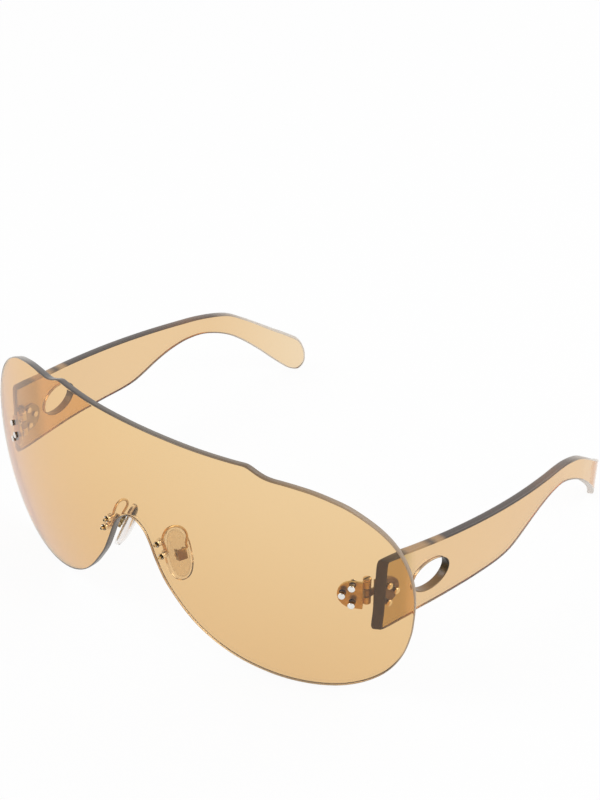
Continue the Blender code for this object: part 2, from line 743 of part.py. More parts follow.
def pivot_depth():
    """How far behind a pad's back its screw lies."""
    return CLEARANCE + TAB_DEPTH / 2 + RUNNING_FIT


def cross_frame(frame):
    """A frame on the pad screw's axis, whose Z runs across the pad."""
    across = frame.to_3x3() @ Vector((1, 0, 0))
    return axis_frame(frame @ Vector((0, -pivot_depth(), 0)), across)


def pad_core(frame):
    """The plate in the pad's back, with the pierced tab that stands in the box."""
    plate = stacked([oval(frame, *core_size(), 0.0), oval(frame, *core_size(), CORE_THICK)])
    half = TAB_WIDTH / 2
    tab = block(frame, (-half, -pivot_depth(), -TAB_DEPTH / 2), (half, CORE_THICK / 2, TAB_DEPTH / 2))
    cross = cross_frame(frame)
    tip = turned(cross, [(TAB_DEPTH / 2, -half), (TAB_DEPTH / 2, half)])
    reach = half + OVERRUN
    bore = turned(cross, [(PAD_SCREW_RADIUS + RUNNING_FIT, -reach), (PAD_SCREW_RADIUS + RUNNING_FIT, reach)])
    return combined(combined(plate, [tab, tip], "UNION"), [bore], "DIFFERENCE")


def box_half_width():
    return TAB_WIDTH / 2 + FIT + BOX_WALL


def box_back():
    """How far behind a pad's back its box ends."""
    return pivot_depth() + TAB_DEPTH / 2 + FIT + BOX_WALL


def pad_box(frame):
    """A channel round the tab, open to the pad and at both ends."""
    near = -pivot_depth() + TAB_DEPTH / 2
    half = box_half_width()
    body = block(frame, (-half, -box_back(), -BOX_LENGTH / 2), (half, near, BOX_LENGTH / 2))
    slot = block(
        frame,
        (-TAB_WIDTH / 2 - FIT, -box_back() + BOX_WALL, -BOX_LENGTH / 2 - OVERRUN),
        (TAB_WIDTH / 2 + FIT, near + OVERRUN, BOX_LENGTH / 2 + OVERRUN),
    )
    reach = half + OVERRUN
    radius = PAD_SCREW_RADIUS + RUNNING_FIT
    bore = turned(cross_frame(frame), [(radius, -reach), (radius, reach)])
    return combined(body, [slot, bore], "DIFFERENCE")


def pad_screw(frame):
    half = box_half_width()
    head = -half - RUNNING_FIT
    profile = [
        (0, head - PAD_SCREW_HEAD_HEIGHT),
        (PAD_SCREW_HEAD * 0.7, head - PAD_SCREW_HEAD_HEIGHT),
        (PAD_SCREW_HEAD, head - PAD_SCREW_HEAD_HEIGHT / 2),
        (PAD_SCREW_HEAD, head),
        (PAD_SCREW_RADIUS, head),
        (PAD_SCREW_RADIUS, half),
        (0, half),
    ]
    return turned(cross_frame(frame), profile, SMALL_SIDES)


def prong_frame(out, height):
    """Z runs back through the lens from its front face."""
    return axis_frame(lens_point(out, height), lens_normal(out, height))


def bar_depth():
    """How far behind the lens's front the arm's bar lies."""
    return LENS_THICK + 2 * FIT + BUSH_FLANGE + PRONG_RADIUS


def arm_path(frame):
    """From the upper prong back and up, over a loop and down to the box's side, above its screw."""
    base = lens_point(*prong_spots()[0], bar_depth())
    loop = [base + Vector(share) * LOOP_REACH for share in LOOP_SHARES]
    side = box_half_width()
    end = frame @ Vector((side + FIT, -pivot_depth(), BOX_LENGTH / 3))
    arrive = frame @ Vector((side + 3 * WIRE_RADIUS, -pivot_depth(), BOX_LENGTH / 3 + WIRE_RADIUS))
    return smooth_curve([*loop, arrive, end], 2 * WIRE_RADIUS, closed=False)


def pad_arm(frame):
    """Two prongs through the lens, the bar between them and the looped wire to the pad's box."""
    spots = [lens_point(*spot, bar_depth()) for spot in prong_spots()]
    pieces = [tube(spots, PRONG_RADIUS), tube(arm_path(frame), WIRE_RADIUS)]
    bores = []
    for out, height in prong_spots():
        prong = prong_frame(out, height)
        ends = (-PRONG_PROUD, bar_depth() + PRONG_RADIUS)
        pieces.append(turned(prong, [(PRONG_RADIUS, end) for end in ends], SMALL_SIDES))
        depth = PRONG_BORE_DEPTH - PRONG_PROUD
        bores.append(turned(prong, [(PRONG_BORE, -PRONG_PROUD - OVERRUN), (PRONG_BORE, depth)], SMALL_SIDES))
    return combined(combined(pieces[0], pieces[1:], "UNION"), bores, "DIFFERENCE")


def bush_radius():
    return PRONG_RADIUS + PRONG_FIT + BUSH_WALL


def bush(out, height):
    """A clear sleeve in the lens, with a flange behind it."""
    inner = PRONG_RADIUS + PRONG_FIT
    outer = bush_radius()
    back = LENS_THICK + FIT
    profile = [
        (inner, -BUSH_PROUD),
        (outer, -BUSH_PROUD),
        (outer, back),
        (outer + CLEARANCE, back),
        (outer + CLEARANCE, back + BUSH_FLANGE),
        (inner, back + BUSH_FLANGE),
    ]
    return sleeve(prong_frame(out, height), profile)


def make_nose_support(side, name, silicone, core_metal, wire_metal, clear):
    frame = pad_frame()
    pivot = frame @ Vector((0, -pivot_depth(), 0))
    publish(f"pad_arm_{name}", pad_arm(frame), wire_metal, side)
    for place, (out, height) in zip(("upper", "lower"), prong_spots()):
        publish(f"pad_bush_{place}_{name}", bush(out, height), clear, side)
    publish(f"pad_box_{name}", pad_box(frame), wire_metal, side)
    publish(f"pad_screw_{name}", pad_screw(frame), wire_metal, side)
    publish(f"nose_pad_{name}", nose_pad(frame), silicone, side, pivot)
    publish(f"pad_core_{name}", pad_core(frame), core_metal, side, pivot)


def main():
    clear_scene()
    amber = (0.84, 0.62, 0.33)
    gold = (0.83, 0.66, 0.38)
    make_lens(material("amber lens", amber, 0.04, transmission=1.0))
    for side, name in ((1, "right"), (-1, "left")):
        steel = material(f"hinge steel {name}", (0.55, 0.47, 0.36), 0.3, 1.0)
        silver = material(f"lens rivet silver {name}", (0.88, 0.87, 0.85), 0.22, 1.0)
        make_front_hinge(side, name, steel, silver)
        acetate = material(f"amber temple {name}", amber, 0.06, transmission=1.0)
        make_temple(side, name, acetate, steel, material(f"temple rivet gold {name}", gold, 0.25, 1.0))
        make_nose_support(
            side,
            name,
            material(f"pad silicone {name}", (0.9, 0.88, 0.85), 0.35, transmission=0.8),
            material(f"pad core gold {name}", gold, 0.3, 1.0),
            material(f"pad wire gold {name}", (0.76, 0.62, 0.4), 0.25, 1.0),
            material(f"clear bush {name}", (0.9, 0.85, 0.75), 0.1, transmission=0.9),
        )


main()
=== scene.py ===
# %% [markdown]
# # Shield sunglasses with see-through temples
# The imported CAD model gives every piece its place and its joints. This lesson dresses it: a
# polished amber lens, solid see-through temples, gilt hinges with riveted plates, and soft
# nose pads on bent wire. Nearly everything here is seen through something else, so the
# finishes are real solids that bend and soak up light, and not colours with an alpha.

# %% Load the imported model
import math

import bmesh
import bpy
from mathutils import Matrix, Vector
from mathutils.geometry import delaunay_2d_cdt
from mathutils.kdtree import KDTree


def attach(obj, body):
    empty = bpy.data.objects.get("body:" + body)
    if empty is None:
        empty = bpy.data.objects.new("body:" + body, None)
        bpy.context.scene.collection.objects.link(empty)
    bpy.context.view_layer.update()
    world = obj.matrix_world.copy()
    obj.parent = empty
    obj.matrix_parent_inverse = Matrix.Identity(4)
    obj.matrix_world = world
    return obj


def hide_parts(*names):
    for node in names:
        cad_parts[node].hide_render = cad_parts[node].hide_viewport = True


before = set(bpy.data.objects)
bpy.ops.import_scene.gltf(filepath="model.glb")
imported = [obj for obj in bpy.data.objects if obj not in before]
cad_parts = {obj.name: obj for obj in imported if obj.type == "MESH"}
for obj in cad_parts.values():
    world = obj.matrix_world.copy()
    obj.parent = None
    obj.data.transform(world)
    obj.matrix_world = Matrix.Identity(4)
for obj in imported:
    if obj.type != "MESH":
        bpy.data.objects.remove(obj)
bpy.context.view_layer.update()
MM = 0.001
SIDES = {"right": 1, "left": -1}
UP = Vector((0, 0, 1))

# %% [markdown]
# ## Camera
# A long lens flattens the perspective, as a product photographer's does. The view comes from
# above the right-hand side, and the small roll is the tilt of the hand-held camera.

# %% Camera
CAMERA_PLACE = Vector((279.15, -341.95, 306.95)) * MM
CAMERA_AZIMUTH = 39.282
CAMERA_ELEVATION = 31.199
CAMERA_ROLL = 0.263
FOCAL_LENGTH = 84.68


def shown(name, data):
    """A new object in the scene."""
    item = bpy.data.objects.new(name, data)
    bpy.context.scene.collection.objects.link(item)
    return item


view = bpy.data.cameras.new("camera")
view.sensor_width = 36
view.sensor_fit = "AUTO"
view.lens = FOCAL_LENGTH
view.clip_start = 0.01
camera = shown("camera", view)
turn = Matrix.Rotation(math.radians(CAMERA_AZIMUTH), 4, "Z")
turn @= Matrix.Rotation(math.radians(90 - CAMERA_ELEVATION), 4, "X")
turn @= Matrix.Rotation(math.radians(CAMERA_ROLL), 4, "Z")
camera.matrix_world = Matrix.Translation(CAMERA_PLACE) @ turn
bpy.context.scene.camera = camera
print("camera", [round(v, 3) for v in camera.location], "focal length", view.lens)

# %% [markdown]
# ## Curves
# A designer draws the outlines with a few points and lets a smooth curve run through them.
# The centripetal Catmull-Rom curve is used because it never overshoots between close points.


# %% Smooth curves through a few points
def smooth_curve(points, step, closed=True):
    """Points about one step apart on a centripetal Catmull-Rom curve through the given ones."""
    points = [Vector(p) for p in points]
    count = len(points)
    if not closed:
        points = [2 * points[0] - points[1], *points, 2 * points[-1] - points[-2]]
    curve = []
    for i in range(count if closed else count - 1):
        first = i - 1 if closed else i
        corners = [points[(first + k) % len(points)] for k in range(4)]
        knots = [0.0]
        for a, b in zip(corners, corners[1:]):
            knots.append(knots[-1] + math.sqrt((b - a).length))
        pieces = max(1, round((corners[2] - corners[1]).length / step))
        for k in range(pieces):
            curve.append(blended(corners, knots, knots[1] + (knots[2] - knots[1]) * k / pieces))
    if not closed:
        curve.append(points[-2].copy())
    return curve


def blended(corners, knots, t):
    level = corners
    for spans in (((0, 1), (1, 2), (2, 3)), ((0, 2), (1, 3)), ((1, 2),)):
        level = [
            (a * (knots[end] - t) + b * (t - knots[start])) / (knots[end] - knots[start])
            for a, b, (start, end) in zip(level, level[1:], spans)
        ]
    return level[0]


print("curve test:", len(smooth_curve([(0, 0), (1, 0), (1, 1), (0, 1)], 0.1)), "points")

# %% [markdown]
# ## Sheets that bend
# The lens and the temples are cut from sheet and then bent. Each is made in the same way: the
# outline and its holes are drawn flat and filled with even triangles, and a function then says
# where each flat point lies in space at each depth of the sheet. Rings of faces join the front
# to the rear, with a rounded edge. The flat faces stop a little inside the rounding, and the
# narrow ring between them keeps the shading of the polished faces true right up to it, which
# matters when light is bent by them.

# %% Fill a flat outline round its holes
ROW_STEP = 0.866
RIM_GAP = 0.6


def inside(point, loop):
    within = False
    for a, b in zip(loop, loop[1:] + loop[:1]):
        if (a.y > point.y) != (b.y > point.y):
            within ^= point.x < a.x + (b.x - a.x) * (point.y - a.y) / (b.y - a.y)
    return within


def flat_sheet(loops, step):
    """2-D points and triangles between an outline and its holes; the loops' points come first."""
    outline, *holes = [[p / step for p in loop] for loop in loops]
    points = [p for loop in (outline, *holes) for p in loop]
    edges, start = [], 0
    for loop in loops:
        edges += [(start + i, start + (i + 1) % len(loop)) for i in range(len(loop))]
        start += len(loop)
    rims = KDTree(len(points))
    for i, p in enumerate(points):
        rims.insert((p.x, p.y, 0), i)
    rims.balance()

    def within(spot):
        return inside(spot, outline) and not any(inside(spot, hole) for hole in holes)

    across, upward = [p.x for p in outline], [p.y for p in outline]
    for j in range(math.floor(min(upward)), math.ceil(max(upward) / ROW_STEP) + 1):
        for i in range(math.floor(min(across)), math.ceil(max(across)) + 1):
            spot = Vector((i + 0.5 * (j % 2), j * ROW_STEP))
            if rims.find((spot.x, spot.y, 0))[2] >= RIM_GAP and within(spot):
                points.append(spot)
    _, _, faces, origins, _, _ = delaunay_2d_cdt(points, edges, [], 0, 1e-7)
    triangles = []
    for face in faces:
        corners = [origins[v][0] for v in face]
        if within(sum((points[v] for v in corners), Vector((0, 0))) / len(corners)):
            triangles.append(corners)
    return [p * step for p in points], triangles


square = [Vector(corner) for corner in ((0, 0), (4, 0), (4, 4), (0, 4))]
print("a square of four steps fills with", len(flat_sheet([square], 1.0)[1]), "triangles")

# %% Give a sheet its thickness and its rounded edges
FACE, OUTER_WALL, INNER_WALL, BORE_WALL = range(4)
SUPPORT = 1.6


def drawn_in(loop, inset):
    """The loop drawn in by an inset, along its own normals."""
    area = sum(a.cross(b) for a, b in zip(loop, loop[1:] + loop[:1]))
    way = 1 if area > 0 else -1
    drawn = []
    for i, point in enumerate(loop):
        run = (loop[(i + 1) % len(loop)] - loop[i - 1]).normalized()
        drawn.append(point + Vector((-run.y, run.x)) * way * inset)
    return drawn


def bridge(mesh, rings, wall=FACE):
    """Strips of faces from ring to ring. All but the first and the last belong to the wall."""
    for k, (near, far) in enumerate(zip(rings, rings[1:])):
        for i in range(len(near)):
            j = (i + 1) % len(near)
            face = mesh.faces.new((near[i], near[j], far[j], far[i]))
            face.material_index = wall if 0 < k < len(rings) - 2 else FACE


def edge_profile(thick, edge, steps):
    """(inset, depth) round the rounded edge, from the front face to the rear one."""
    turns = [0.5 * math.pi * k / steps for k in range(steps + 1)]
    front = [(edge * (1 - math.sin(t)), edge * (1 - math.cos(t))) for t in turns]
    return front + [(inset, thick - depth) for inset, depth in reversed(front)]


def bent_sheet(outline, holes, surface, thick, edge, step, steps=4):
    """A sheet on surface(point, depth). Holes are (loop, rounding, kind of wall)."""
    loops = [(outline, edge, OUTER_WALL, 1)] + [(*hole, -1) for hole in holes]
    flat = [drawn_in(loop, way * (rounding * SUPPORT)) for loop, rounding, _, way in loops]
    points, triangles = flat_sheet(flat, step)
    mesh = bmesh.new()
    front = [mesh.verts.new(surface(p, 0.0)) for p in points]
    rear = [mesh.verts.new(surface(p, thick)) for p in points]
    for corners in triangles:
        mesh.faces.new([front[v] for v in corners])
        mesh.faces.new([rear[v] for v in reversed(corners)])
    start = 0
    for loop, rounding, wall, way in loops:
        own = slice(start, start + len(loop))
        rings = [front[own]]
        for inset, depth in edge_profile(thick, rounding, steps):
            rings.append([mesh.verts.new(surface(p, depth)) for p in drawn_in(loop, way * inset)])
        bridge(mesh, [*rings, rear[own]], wall)
        start += len(loop)
    return finished(mesh)


def finished(mesh):
    bmesh.ops.recalc_face_normals(mesh, faces=mesh.faces)
    made = bpy.data.meshes.new("shape")
    mesh.to_mesh(made)
    mesh.free()
    return made


print("kinds of faces: face", FACE, "outer wall", OUTER_WALL, "inner wall", INNER_WALL, "bore", BORE_WALL)


# %% Put finished meshes in the scene
def joined(meshes):
    """One mesh from several."""
    mesh = bmesh.new()
    for part in meshes:
        mesh.from_mesh(part)
    return finished(mesh)


def mirrored(mesh, side):
    """The mesh itself on the right, and its mirror image with its faces turned back on the left."""
    made = mesh.copy()
    if side < 0:
        made.transform(Matrix.Diagonal((-1, 1, 1, 1)))
        made.flip_normals()
    return made


def place(name, mesh, finish, body, replaced, sharp=35):
    """A finished piece at the origin: smooth, but crisp where faces meet at more than sharp degrees."""
    mesh.name = name
    if "wall" not in mesh.attributes:
        kinds = [float(face.material_index) for face in mesh.polygons]
        mesh.attributes.new("wall", "FLOAT", "FACE").data.foreach_set("value", kinds)
    mesh.materials.clear()
    mesh.materials.append(finish)
    mesh.polygons.foreach_set("material_index", [0] * len(mesh.polygons))
    mesh.shade_smooth()
    mesh.set_sharp_from_angle(angle=math.radians(sharp))
    item = shown(name, mesh)
    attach(item, body)
    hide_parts(*replaced)
    print(name, len(mesh.polygons), "faces on", body)


def place_pairs(*pieces):
    """Pieces for both sides. In their names {} stands for the side, and a finish may be one for each."""
    for side_name, side in SIDES.items():
        for name, mesh, finish, slot, body, replaced in pieces:
            tone = finish[side_name] if isinstance(finish, dict) else finish
            stood_for = [title.format(side_name) for title in replaced]
            place(name.format(side_name), mirrored(mesh, side), tone, body.format(side_name), stood_for)


print("sheet tools ready")

# %% [markdown]
# ## Nodes in one line
# A material or a Geometry Nodes tree is a graph, and scripts that build one grow long. One small
# helper makes a node, sets it and wires it: each input is given a value, a colour or the output
# of another node. The patterns all run on Object coordinates, so they stay on a piece that moves.


# %% Helpers for nodes
def feed(tree, made, inputs):
    for key, value in inputs.items():
        socket = made.inputs[key]
        if isinstance(value, bpy.types.NodeSocket):
            tree.links.new(value, socket)
        else:
            socket.default_value = (*value, 1.0) if socket.type == "RGBA" else value


def node(tree, kind, inputs=None, **settings):
    made = tree.nodes.new(kind)
    for key, value in settings.items():
        setattr(made, key, value)
    feed(tree, made, inputs or {})
    return made


def maths(tree, operation, a, b, clamp=False):
    return node(tree, "ShaderNodeMath", {0: a, 1: b}, operation=operation, use_clamp=clamp).outputs[0]


def ranged(tree, source, low, high, to_low, to_high):
    """A value taken from one range to another and kept inside it."""
    limits = {"Value": source, "From Min": low, "From Max": high, "To Min": to_low, "To Max": to_high}
    return node(tree, "ShaderNodeMapRange", limits).outputs["Result"]


def two_tone(tree, factor, first, second):
    """A colour between two, by a factor."""
    return node(tree, "ShaderNodeMix", {0: factor, 6: first, 7: second}, data_type="RGBA").outputs[2]


def on_piece(tree):
    return node(tree, "ShaderNodeTexCoord").outputs["Object"]


def grain(tree, where, scale, detail):
    inputs = {"Vector": where, "Scale": scale, "Detail": detail, "Roughness": 0.55}
    return node(tree, "ShaderNodeTexNoise", inputs).outputs["Fac"]


def bumped(tree, height, strength, distance):
    inputs = {"Height": height, "Strength": strength, "Distance": distance}
    return node(tree, "ShaderNodeBump", inputs).outputs["Normal"]


def wall_kind(tree):
    """The kind of wall that place() wrote on each face."""
    return node(tree, "ShaderNodeAttribute", attribute_name="wall").outputs["Fac"]


def blank_material(name, inputs):
    """A Principled material with some inputs set, its tree and its shader."""
    made = bpy.data.materials.new(name)
    made.use_nodes = True
    shader = made.node_tree.nodes["Principled BSDF"]
    feed(made.node_tree, shader, inputs)
    return made, made.node_tree, shader


def soaking(tree, colour, density):
    """Light that crosses more of the solid comes out deeper in colour."""
    depth = node(tree, "ShaderNodeVolumeAbsorption", {"Color": colour, "Density": density})
    feed(tree, tree.nodes["Material Output"], {"Volume": depth.outputs["Volume"]})


WHITE = (1.0, 1.0, 1.0)
print("node helpers ready")

# %% [markdown]
# ## See-through finishes
# The lens and the temples are tinted right through. A tinted solid gets its colour from its
# depth: light that crosses more of it comes out deeper. So the surface is clear and polished,
# and a Volume Absorption inside soaks up blue most, then green. The cut edges are satin and mostly
# closed to light. Their dark and pale stretches are painted reflections and shade, set along each
# edge to look as they do in the photograph. A closed solid keeps one material, because the
# absorption is lost where two meet, so each face's kind says which look it takes.

# %% Tinted glassy plastic
WALL_CLEARNESS = 0.12
WALL_ROUGHNESS = 0.28


def shaded(tree, where, axis, stops):
    """Colours along an axis of the piece, from (millimetres, colour) stops."""
    along = node(tree, "ShaderNodeSeparateXYZ", {"Vector": where}).outputs[axis]
    low, high = stops[0][0], stops[-1][0]
    ramp = node(tree, "ShaderNodeValToRGB", {0: ranged(tree, along, low * MM, high * MM, 0.0, 1.0)})
    points = ramp.color_ramp.elements
    for spot, _ in stops[1:-1]:
        points.new((spot - low) / (high - low))
    for point, (_, colour) in zip(points, stops):
        point.color = (*colour, 1.0)
    return ramp.outputs["Color"]


def tinted(name, colour, density, face, rim, opening):
    """Polished see-through plastic with a satin skin on its cut walls.

    face, rim and opening are each an axis and the stops along it. The rim's stops are painted
    reflections and shade. From inside the sheet the cut edges let light through, so a strip of one
    that is seen through a face stays bright, but the drilled bores are dark from both sides.
    """
    made, tree, shader = blank_material(name, {"IOR": 1.5})
    where, kind = on_piece(tree), wall_kind(tree)
    from_inside = node(tree, "ShaderNodeNewGeometry").outputs["Backfacing"]
    outside = maths(tree, "SUBTRACT", ranged(tree, kind, 0.0, 1.0, 0.0, 1.0), from_inside, clamp=True)
    skinned = maths(tree, "MAXIMUM", outside, ranged(tree, kind, INNER_WALL, BORE_WALL, 0.0, 1.0))
    inner = ranged(tree, kind, OUTER_WALL, INNER_WALL, 0.0, 1.0)
    skin = two_tone(tree, inner, shaded(tree, where, *rim), shaded(tree, where, *opening))
    feed(tree, shader, {
        "Base Color": two_tone(tree, skinned, shaded(tree, where, *face), skin),
        "Transmission Weight": ranged(tree, skinned, 0.0, 1.0, 1.0, WALL_CLEARNESS),
        "Roughness": ranged(tree, kind, FACE, OUTER_WALL, 0.0, WALL_ROUGHNESS),
        "Normal": bumped(tree, grain(tree, where, 260.0, 4.0), 0.012, 0.0001),
    })
    soaking(tree, colour, density)
    return made


print("cut walls let", WALL_CLEARNESS, "of the light through")

# %% The two ambers
lens_amber = tinted(
    "polished amber lens", (0.879, 0.624, 0.136), 560.0,
    face=("Z", ((0, (0.92, 0.86, 0.78)), (62, WHITE))),
    # Painted reflections and shade along the lens's edge: dark through the middle, paler towards both ends.
    rim=("X", (
        (-56, (0.38, 0.34, 0.3)), (-46, (0.1, 0.085, 0.075)), (-20, (0.09, 0.07, 0.055)),
        (5, (0.15, 0.12, 0.09)), (34, (0.18, 0.12, 0.07)), (45, (0.3, 0.2, 0.11)), (62, (0.36, 0.26, 0.17)),
    )),
    opening=("Z", ((20, (0.04, 0.03, 0.02)), (40, (0.04, 0.03, 0.02)))),
)
temple_amber = tinted(
    "polished amber temple", (0.88, 0.66, 0.28), 580.0,
    # Painted shade: the temple's faces are darker at their front end, where it is seen through the lens.
    face=("Y", (
        (-45, (0.67, 0.67, 0.47)), (-39.5, (0.67, 0.67, 0.47)), (-36, (0.97, 0.96, 0.95)), (-5, WHITE),
    )),
    # Painted reflections and light along the temple's edge: dark at the end face and along the front, amber
    # stretches near the front for light passing through, and pale towards the tip.
    rim=("Y", (
        (-41, (0.034, 0.029, 0.02)), (-38.5, (0.42, 0.26, 0.12)), (-33, (0.4, 0.25, 0.12)),
        (-30.5, (0.09, 0.065, 0.045)), (-28.5, (0.42, 0.26, 0.12)), (-27, (0.38, 0.23, 0.11)),
        (-25.5, (0.07, 0.055, 0.045)), (10, (0.075, 0.058, 0.045)), (25, (0.17, 0.1, 0.06)),
        (34, (0.11, 0.08, 0.06)), (42, (0.4, 0.34, 0.28)), (50, (0.62, 0.56, 0.49)),
    )),
    opening=("Z", ((25.5, (0.25, 0.15, 0.065)), (28, (0.03, 0.023, 0.01)))),
)
print("see-through finishes:", lens_amber.name, "and", temple_amber.name)

# %% [markdown]
# ## The lens
# One sheet makes the whole front. It wraps round the face more tightly from side to side than up
# and down, so its surface is the sum of two gentle curves. The outline has a small step at each
# end of the straight brow, a lobe under each eye and an arch over the nose. Ten small holes take
# the hinge rivets and the prongs of the pad arms. Its shape follows a rule, so it is computed.

# %% The lens's sizes and surface
LENS_WIDTH = 145 * MM
LENS_HEIGHT = 62 * MM
LENS_THICK = 2.2 * MM
LENS_FRONT_Y = -68.1 * MM
WRAP_RADIUS = 114.2 * MM
UPRIGHT_RADIUS = 140.5 * MM
CREST_HEIGHT = 29.9 * MM
LENS_EDGE = 0.35 * MM
LENS_OUTLINE = (
    (0.0, 1.0), (0.12, 0.999), (0.24, 0.996), (0.34, 0.994), (0.4, 0.993), (0.437, 0.992), (0.455, 0.985),
    (0.477, 0.973), (0.503, 0.9615), (0.53, 0.9555), (0.565, 0.9525), (0.61, 0.947), (0.67, 0.9355),
    (0.73, 0.916), (0.781, 0.8935), (0.834, 0.8575), (0.884, 0.8135), (0.924, 0.7645), (0.955, 0.709),
    (0.979, 0.642), (0.995, 0.565), (1.0, 0.49), (0.9975, 0.415), (0.99, 0.3435), (0.9625, 0.233),
    (0.913, 0.137), (0.848, 0.07), (0.777, 0.0275), (0.705, 0.0065), (0.632, 0.0), (0.559, 0.0055),
    (0.487, 0.024), (0.418, 0.0515), (0.352, 0.092), (0.291, 0.143), (0.236, 0.205), (0.188, 0.276),
    (0.1435, 0.352), (0.109, 0.437), (0.083, 0.51), (0.065, 0.547), (0.0515, 0.564), (0.037, 0.577),
    (0.0195, 0.587), (0.0, 0.5905),
)


def lens_normal(x, z):
    """The way from the lens's front face to its rear one."""
    return Vector((-x / WRAP_RADIUS, 1, -(z - CREST_HEIGHT) / UPRIGHT_RADIUS)).normalized()


def lens_point(x, z, depth=0.0):
    y = LENS_FRONT_Y + x * x / (2 * WRAP_RADIUS) + (z - CREST_HEIGHT) ** 2 / (2 * UPRIGHT_RADIUS)
    return Vector((x, y, z)) + depth * lens_normal(x, z)


def behind_lens(x, z):
    """The point of the rear face straight behind the front face's x and z."""
    start = x
    for _ in range(4):
        start += x - lens_point(start, z, LENS_THICK).x
    return lens_point(start, z, LENS_THICK)


wrapped = lens_point(LENS_WIDTH / 2, CREST_HEIGHT) - lens_point(0, CREST_HEIGHT)
print("the lens wraps back by", round(wrapped.y / MM, 1), "mm")

# %% [markdown]
# ## Where the hinges and rivets stand
# Every small piece is placed from one frame: the hinge's axis is upright, its X runs outwards
# along the lens and its Y points away from the lens. The temple has a frame of its own on the
# same axis. Pieces for the left are mirrored from the right.

# %% The hinge's frame
HINGE_INSET = 10.7 * MM
HINGE_HEIGHT = 31.1 * MM
PLATE_THICK = 0.8 * MM
KNUCKLE_RADIUS = 1.05 * MM
KNUCKLE_STAND = 0.3 * MM
FIT = 0.2 * MM
CLOSE_FIT = 0.1 * MM
RIVET_RADIUS = 0.4 * MM
LENS_RIVETS = (("upper", 3.2, 3.0), ("inner", 5.6, 0.5), ("lower", 3.2, -2.0))
TEMPLE_RIVETS = (("upper", 3.35, 2.4), ("rear", 5.75, -0.1), ("lower", 3.35, -2.6))
PRONGS = ((0.12 * LENS_WIDTH / 2, 0.521 * LENS_HEIGHT), (0.138 * LENS_WIDTH / 2, 0.47 * LENS_HEIGHT))
PRONG_RADIUS = 0.45 * MM
BUSH_RADIUS = PRONG_RADIUS + CLOSE_FIT + 0.2 * MM


def frame_from(origin, across, along, up):
    rows = [(across[k], along[k], up[k], origin[k]) for k in range(3)]
    return Matrix((*rows, (0, 0, 0, 1)))


def axis_frame(origin, direction):
    """A placement whose Z runs along a direction."""
    across = direction.orthogonal().normalized()
    return frame_from(origin, across, direction.cross(across), direction)


def hinge_frame():
    foot = LENS_WIDTH / 2 - HINGE_INSET
    away = lens_normal(foot, CREST_HEIGHT)
    stand = LENS_THICK + FIT + PLATE_THICK + KNUCKLE_STAND + KNUCKLE_RADIUS
    axis = lens_point(foot, CREST_HEIGHT) + stand * away
    return frame_from(Vector((axis.x, axis.y, HINGE_HEIGHT)), away.cross(UP), away, UP)


HINGE = hinge_frame()
PLATE_FACE = KNUCKLE_RADIUS + KNUCKLE_STAND + PLATE_THICK
HINGE_AWAY = HINGE.to_3x3() @ Vector((0, 1, 0))


def lens_under(across, up):
    """Where a line along the hinge's Y meets the lens's front."""
    spot = HINGE @ Vector((across, -PLATE_FACE - LENS_THICK, up))
    for _ in range(4):
        spot += HINGE_AWAY * (lens_point(spot.x, spot.z).y - spot.y) * HINGE_AWAY.y
    return spot


print("hinge axis at", [round(v / MM, 2) for v in HINGE.translation], "mm")

# %% Make the lens
OUTLINE_STEP = 0.7 * MM
LENS_STEP = 1.3 * MM
SLEEVE_ROOM = 0.3 * MM
BORE_ROUNDING = 0.06 * MM


def circle(centre, radius, sides=28):
    angles = [2 * math.pi * k / sides for k in range(sides)]
    return [centre + radius * Vector((math.cos(a), math.sin(a))) for a in angles]


def make_lens():
    half = [Vector((out * LENS_WIDTH / 2, up * LENS_HEIGHT)) for out, up in LENS_OUTLINE]
    whole = half + [Vector((-p.x, p.y)) for p in reversed(half[1:-1])]
    rivets = [lens_under(-across * MM, up * MM).xz for _, across, up in LENS_RIVETS]
    bores = [(spot, RIVET_RADIUS + SLEEVE_ROOM, BORE_WALL) for spot in rivets]
    bores += [(Vector(spot), BUSH_RADIUS + CLOSE_FIT, FACE) for spot in PRONGS]
    holes = []
    for side in SIDES.values():
        for spot, radius, wall in bores:
            holes.append((circle(Vector((side * spot.x, spot.y)), radius), BORE_ROUNDING, wall))
    outline = smooth_curve(whole, OUTLINE_STEP)
    return bent_sheet(outline, holes, lambda p, d: lens_point(p.x, p.y, d), LENS_THICK, LENS_EDGE, LENS_STEP)


place("shield_lens", make_lens(), lens_amber, "front", ["lens_shield"])

# %% [markdown]
# ## The temples
# Each temple is a deep arm cut from 2.4 mm sheet. It narrows over the ear and bends down and in
# behind it, where it also thins and leans in at its foot. In plan it bows outwards a little. Its
# front end is cut along the back of the lens, and an oval opening is pierced through its wide
# front part. The side view and the plan are two separate curves, as on a maker's drawing, and the
# sheet function joins them.

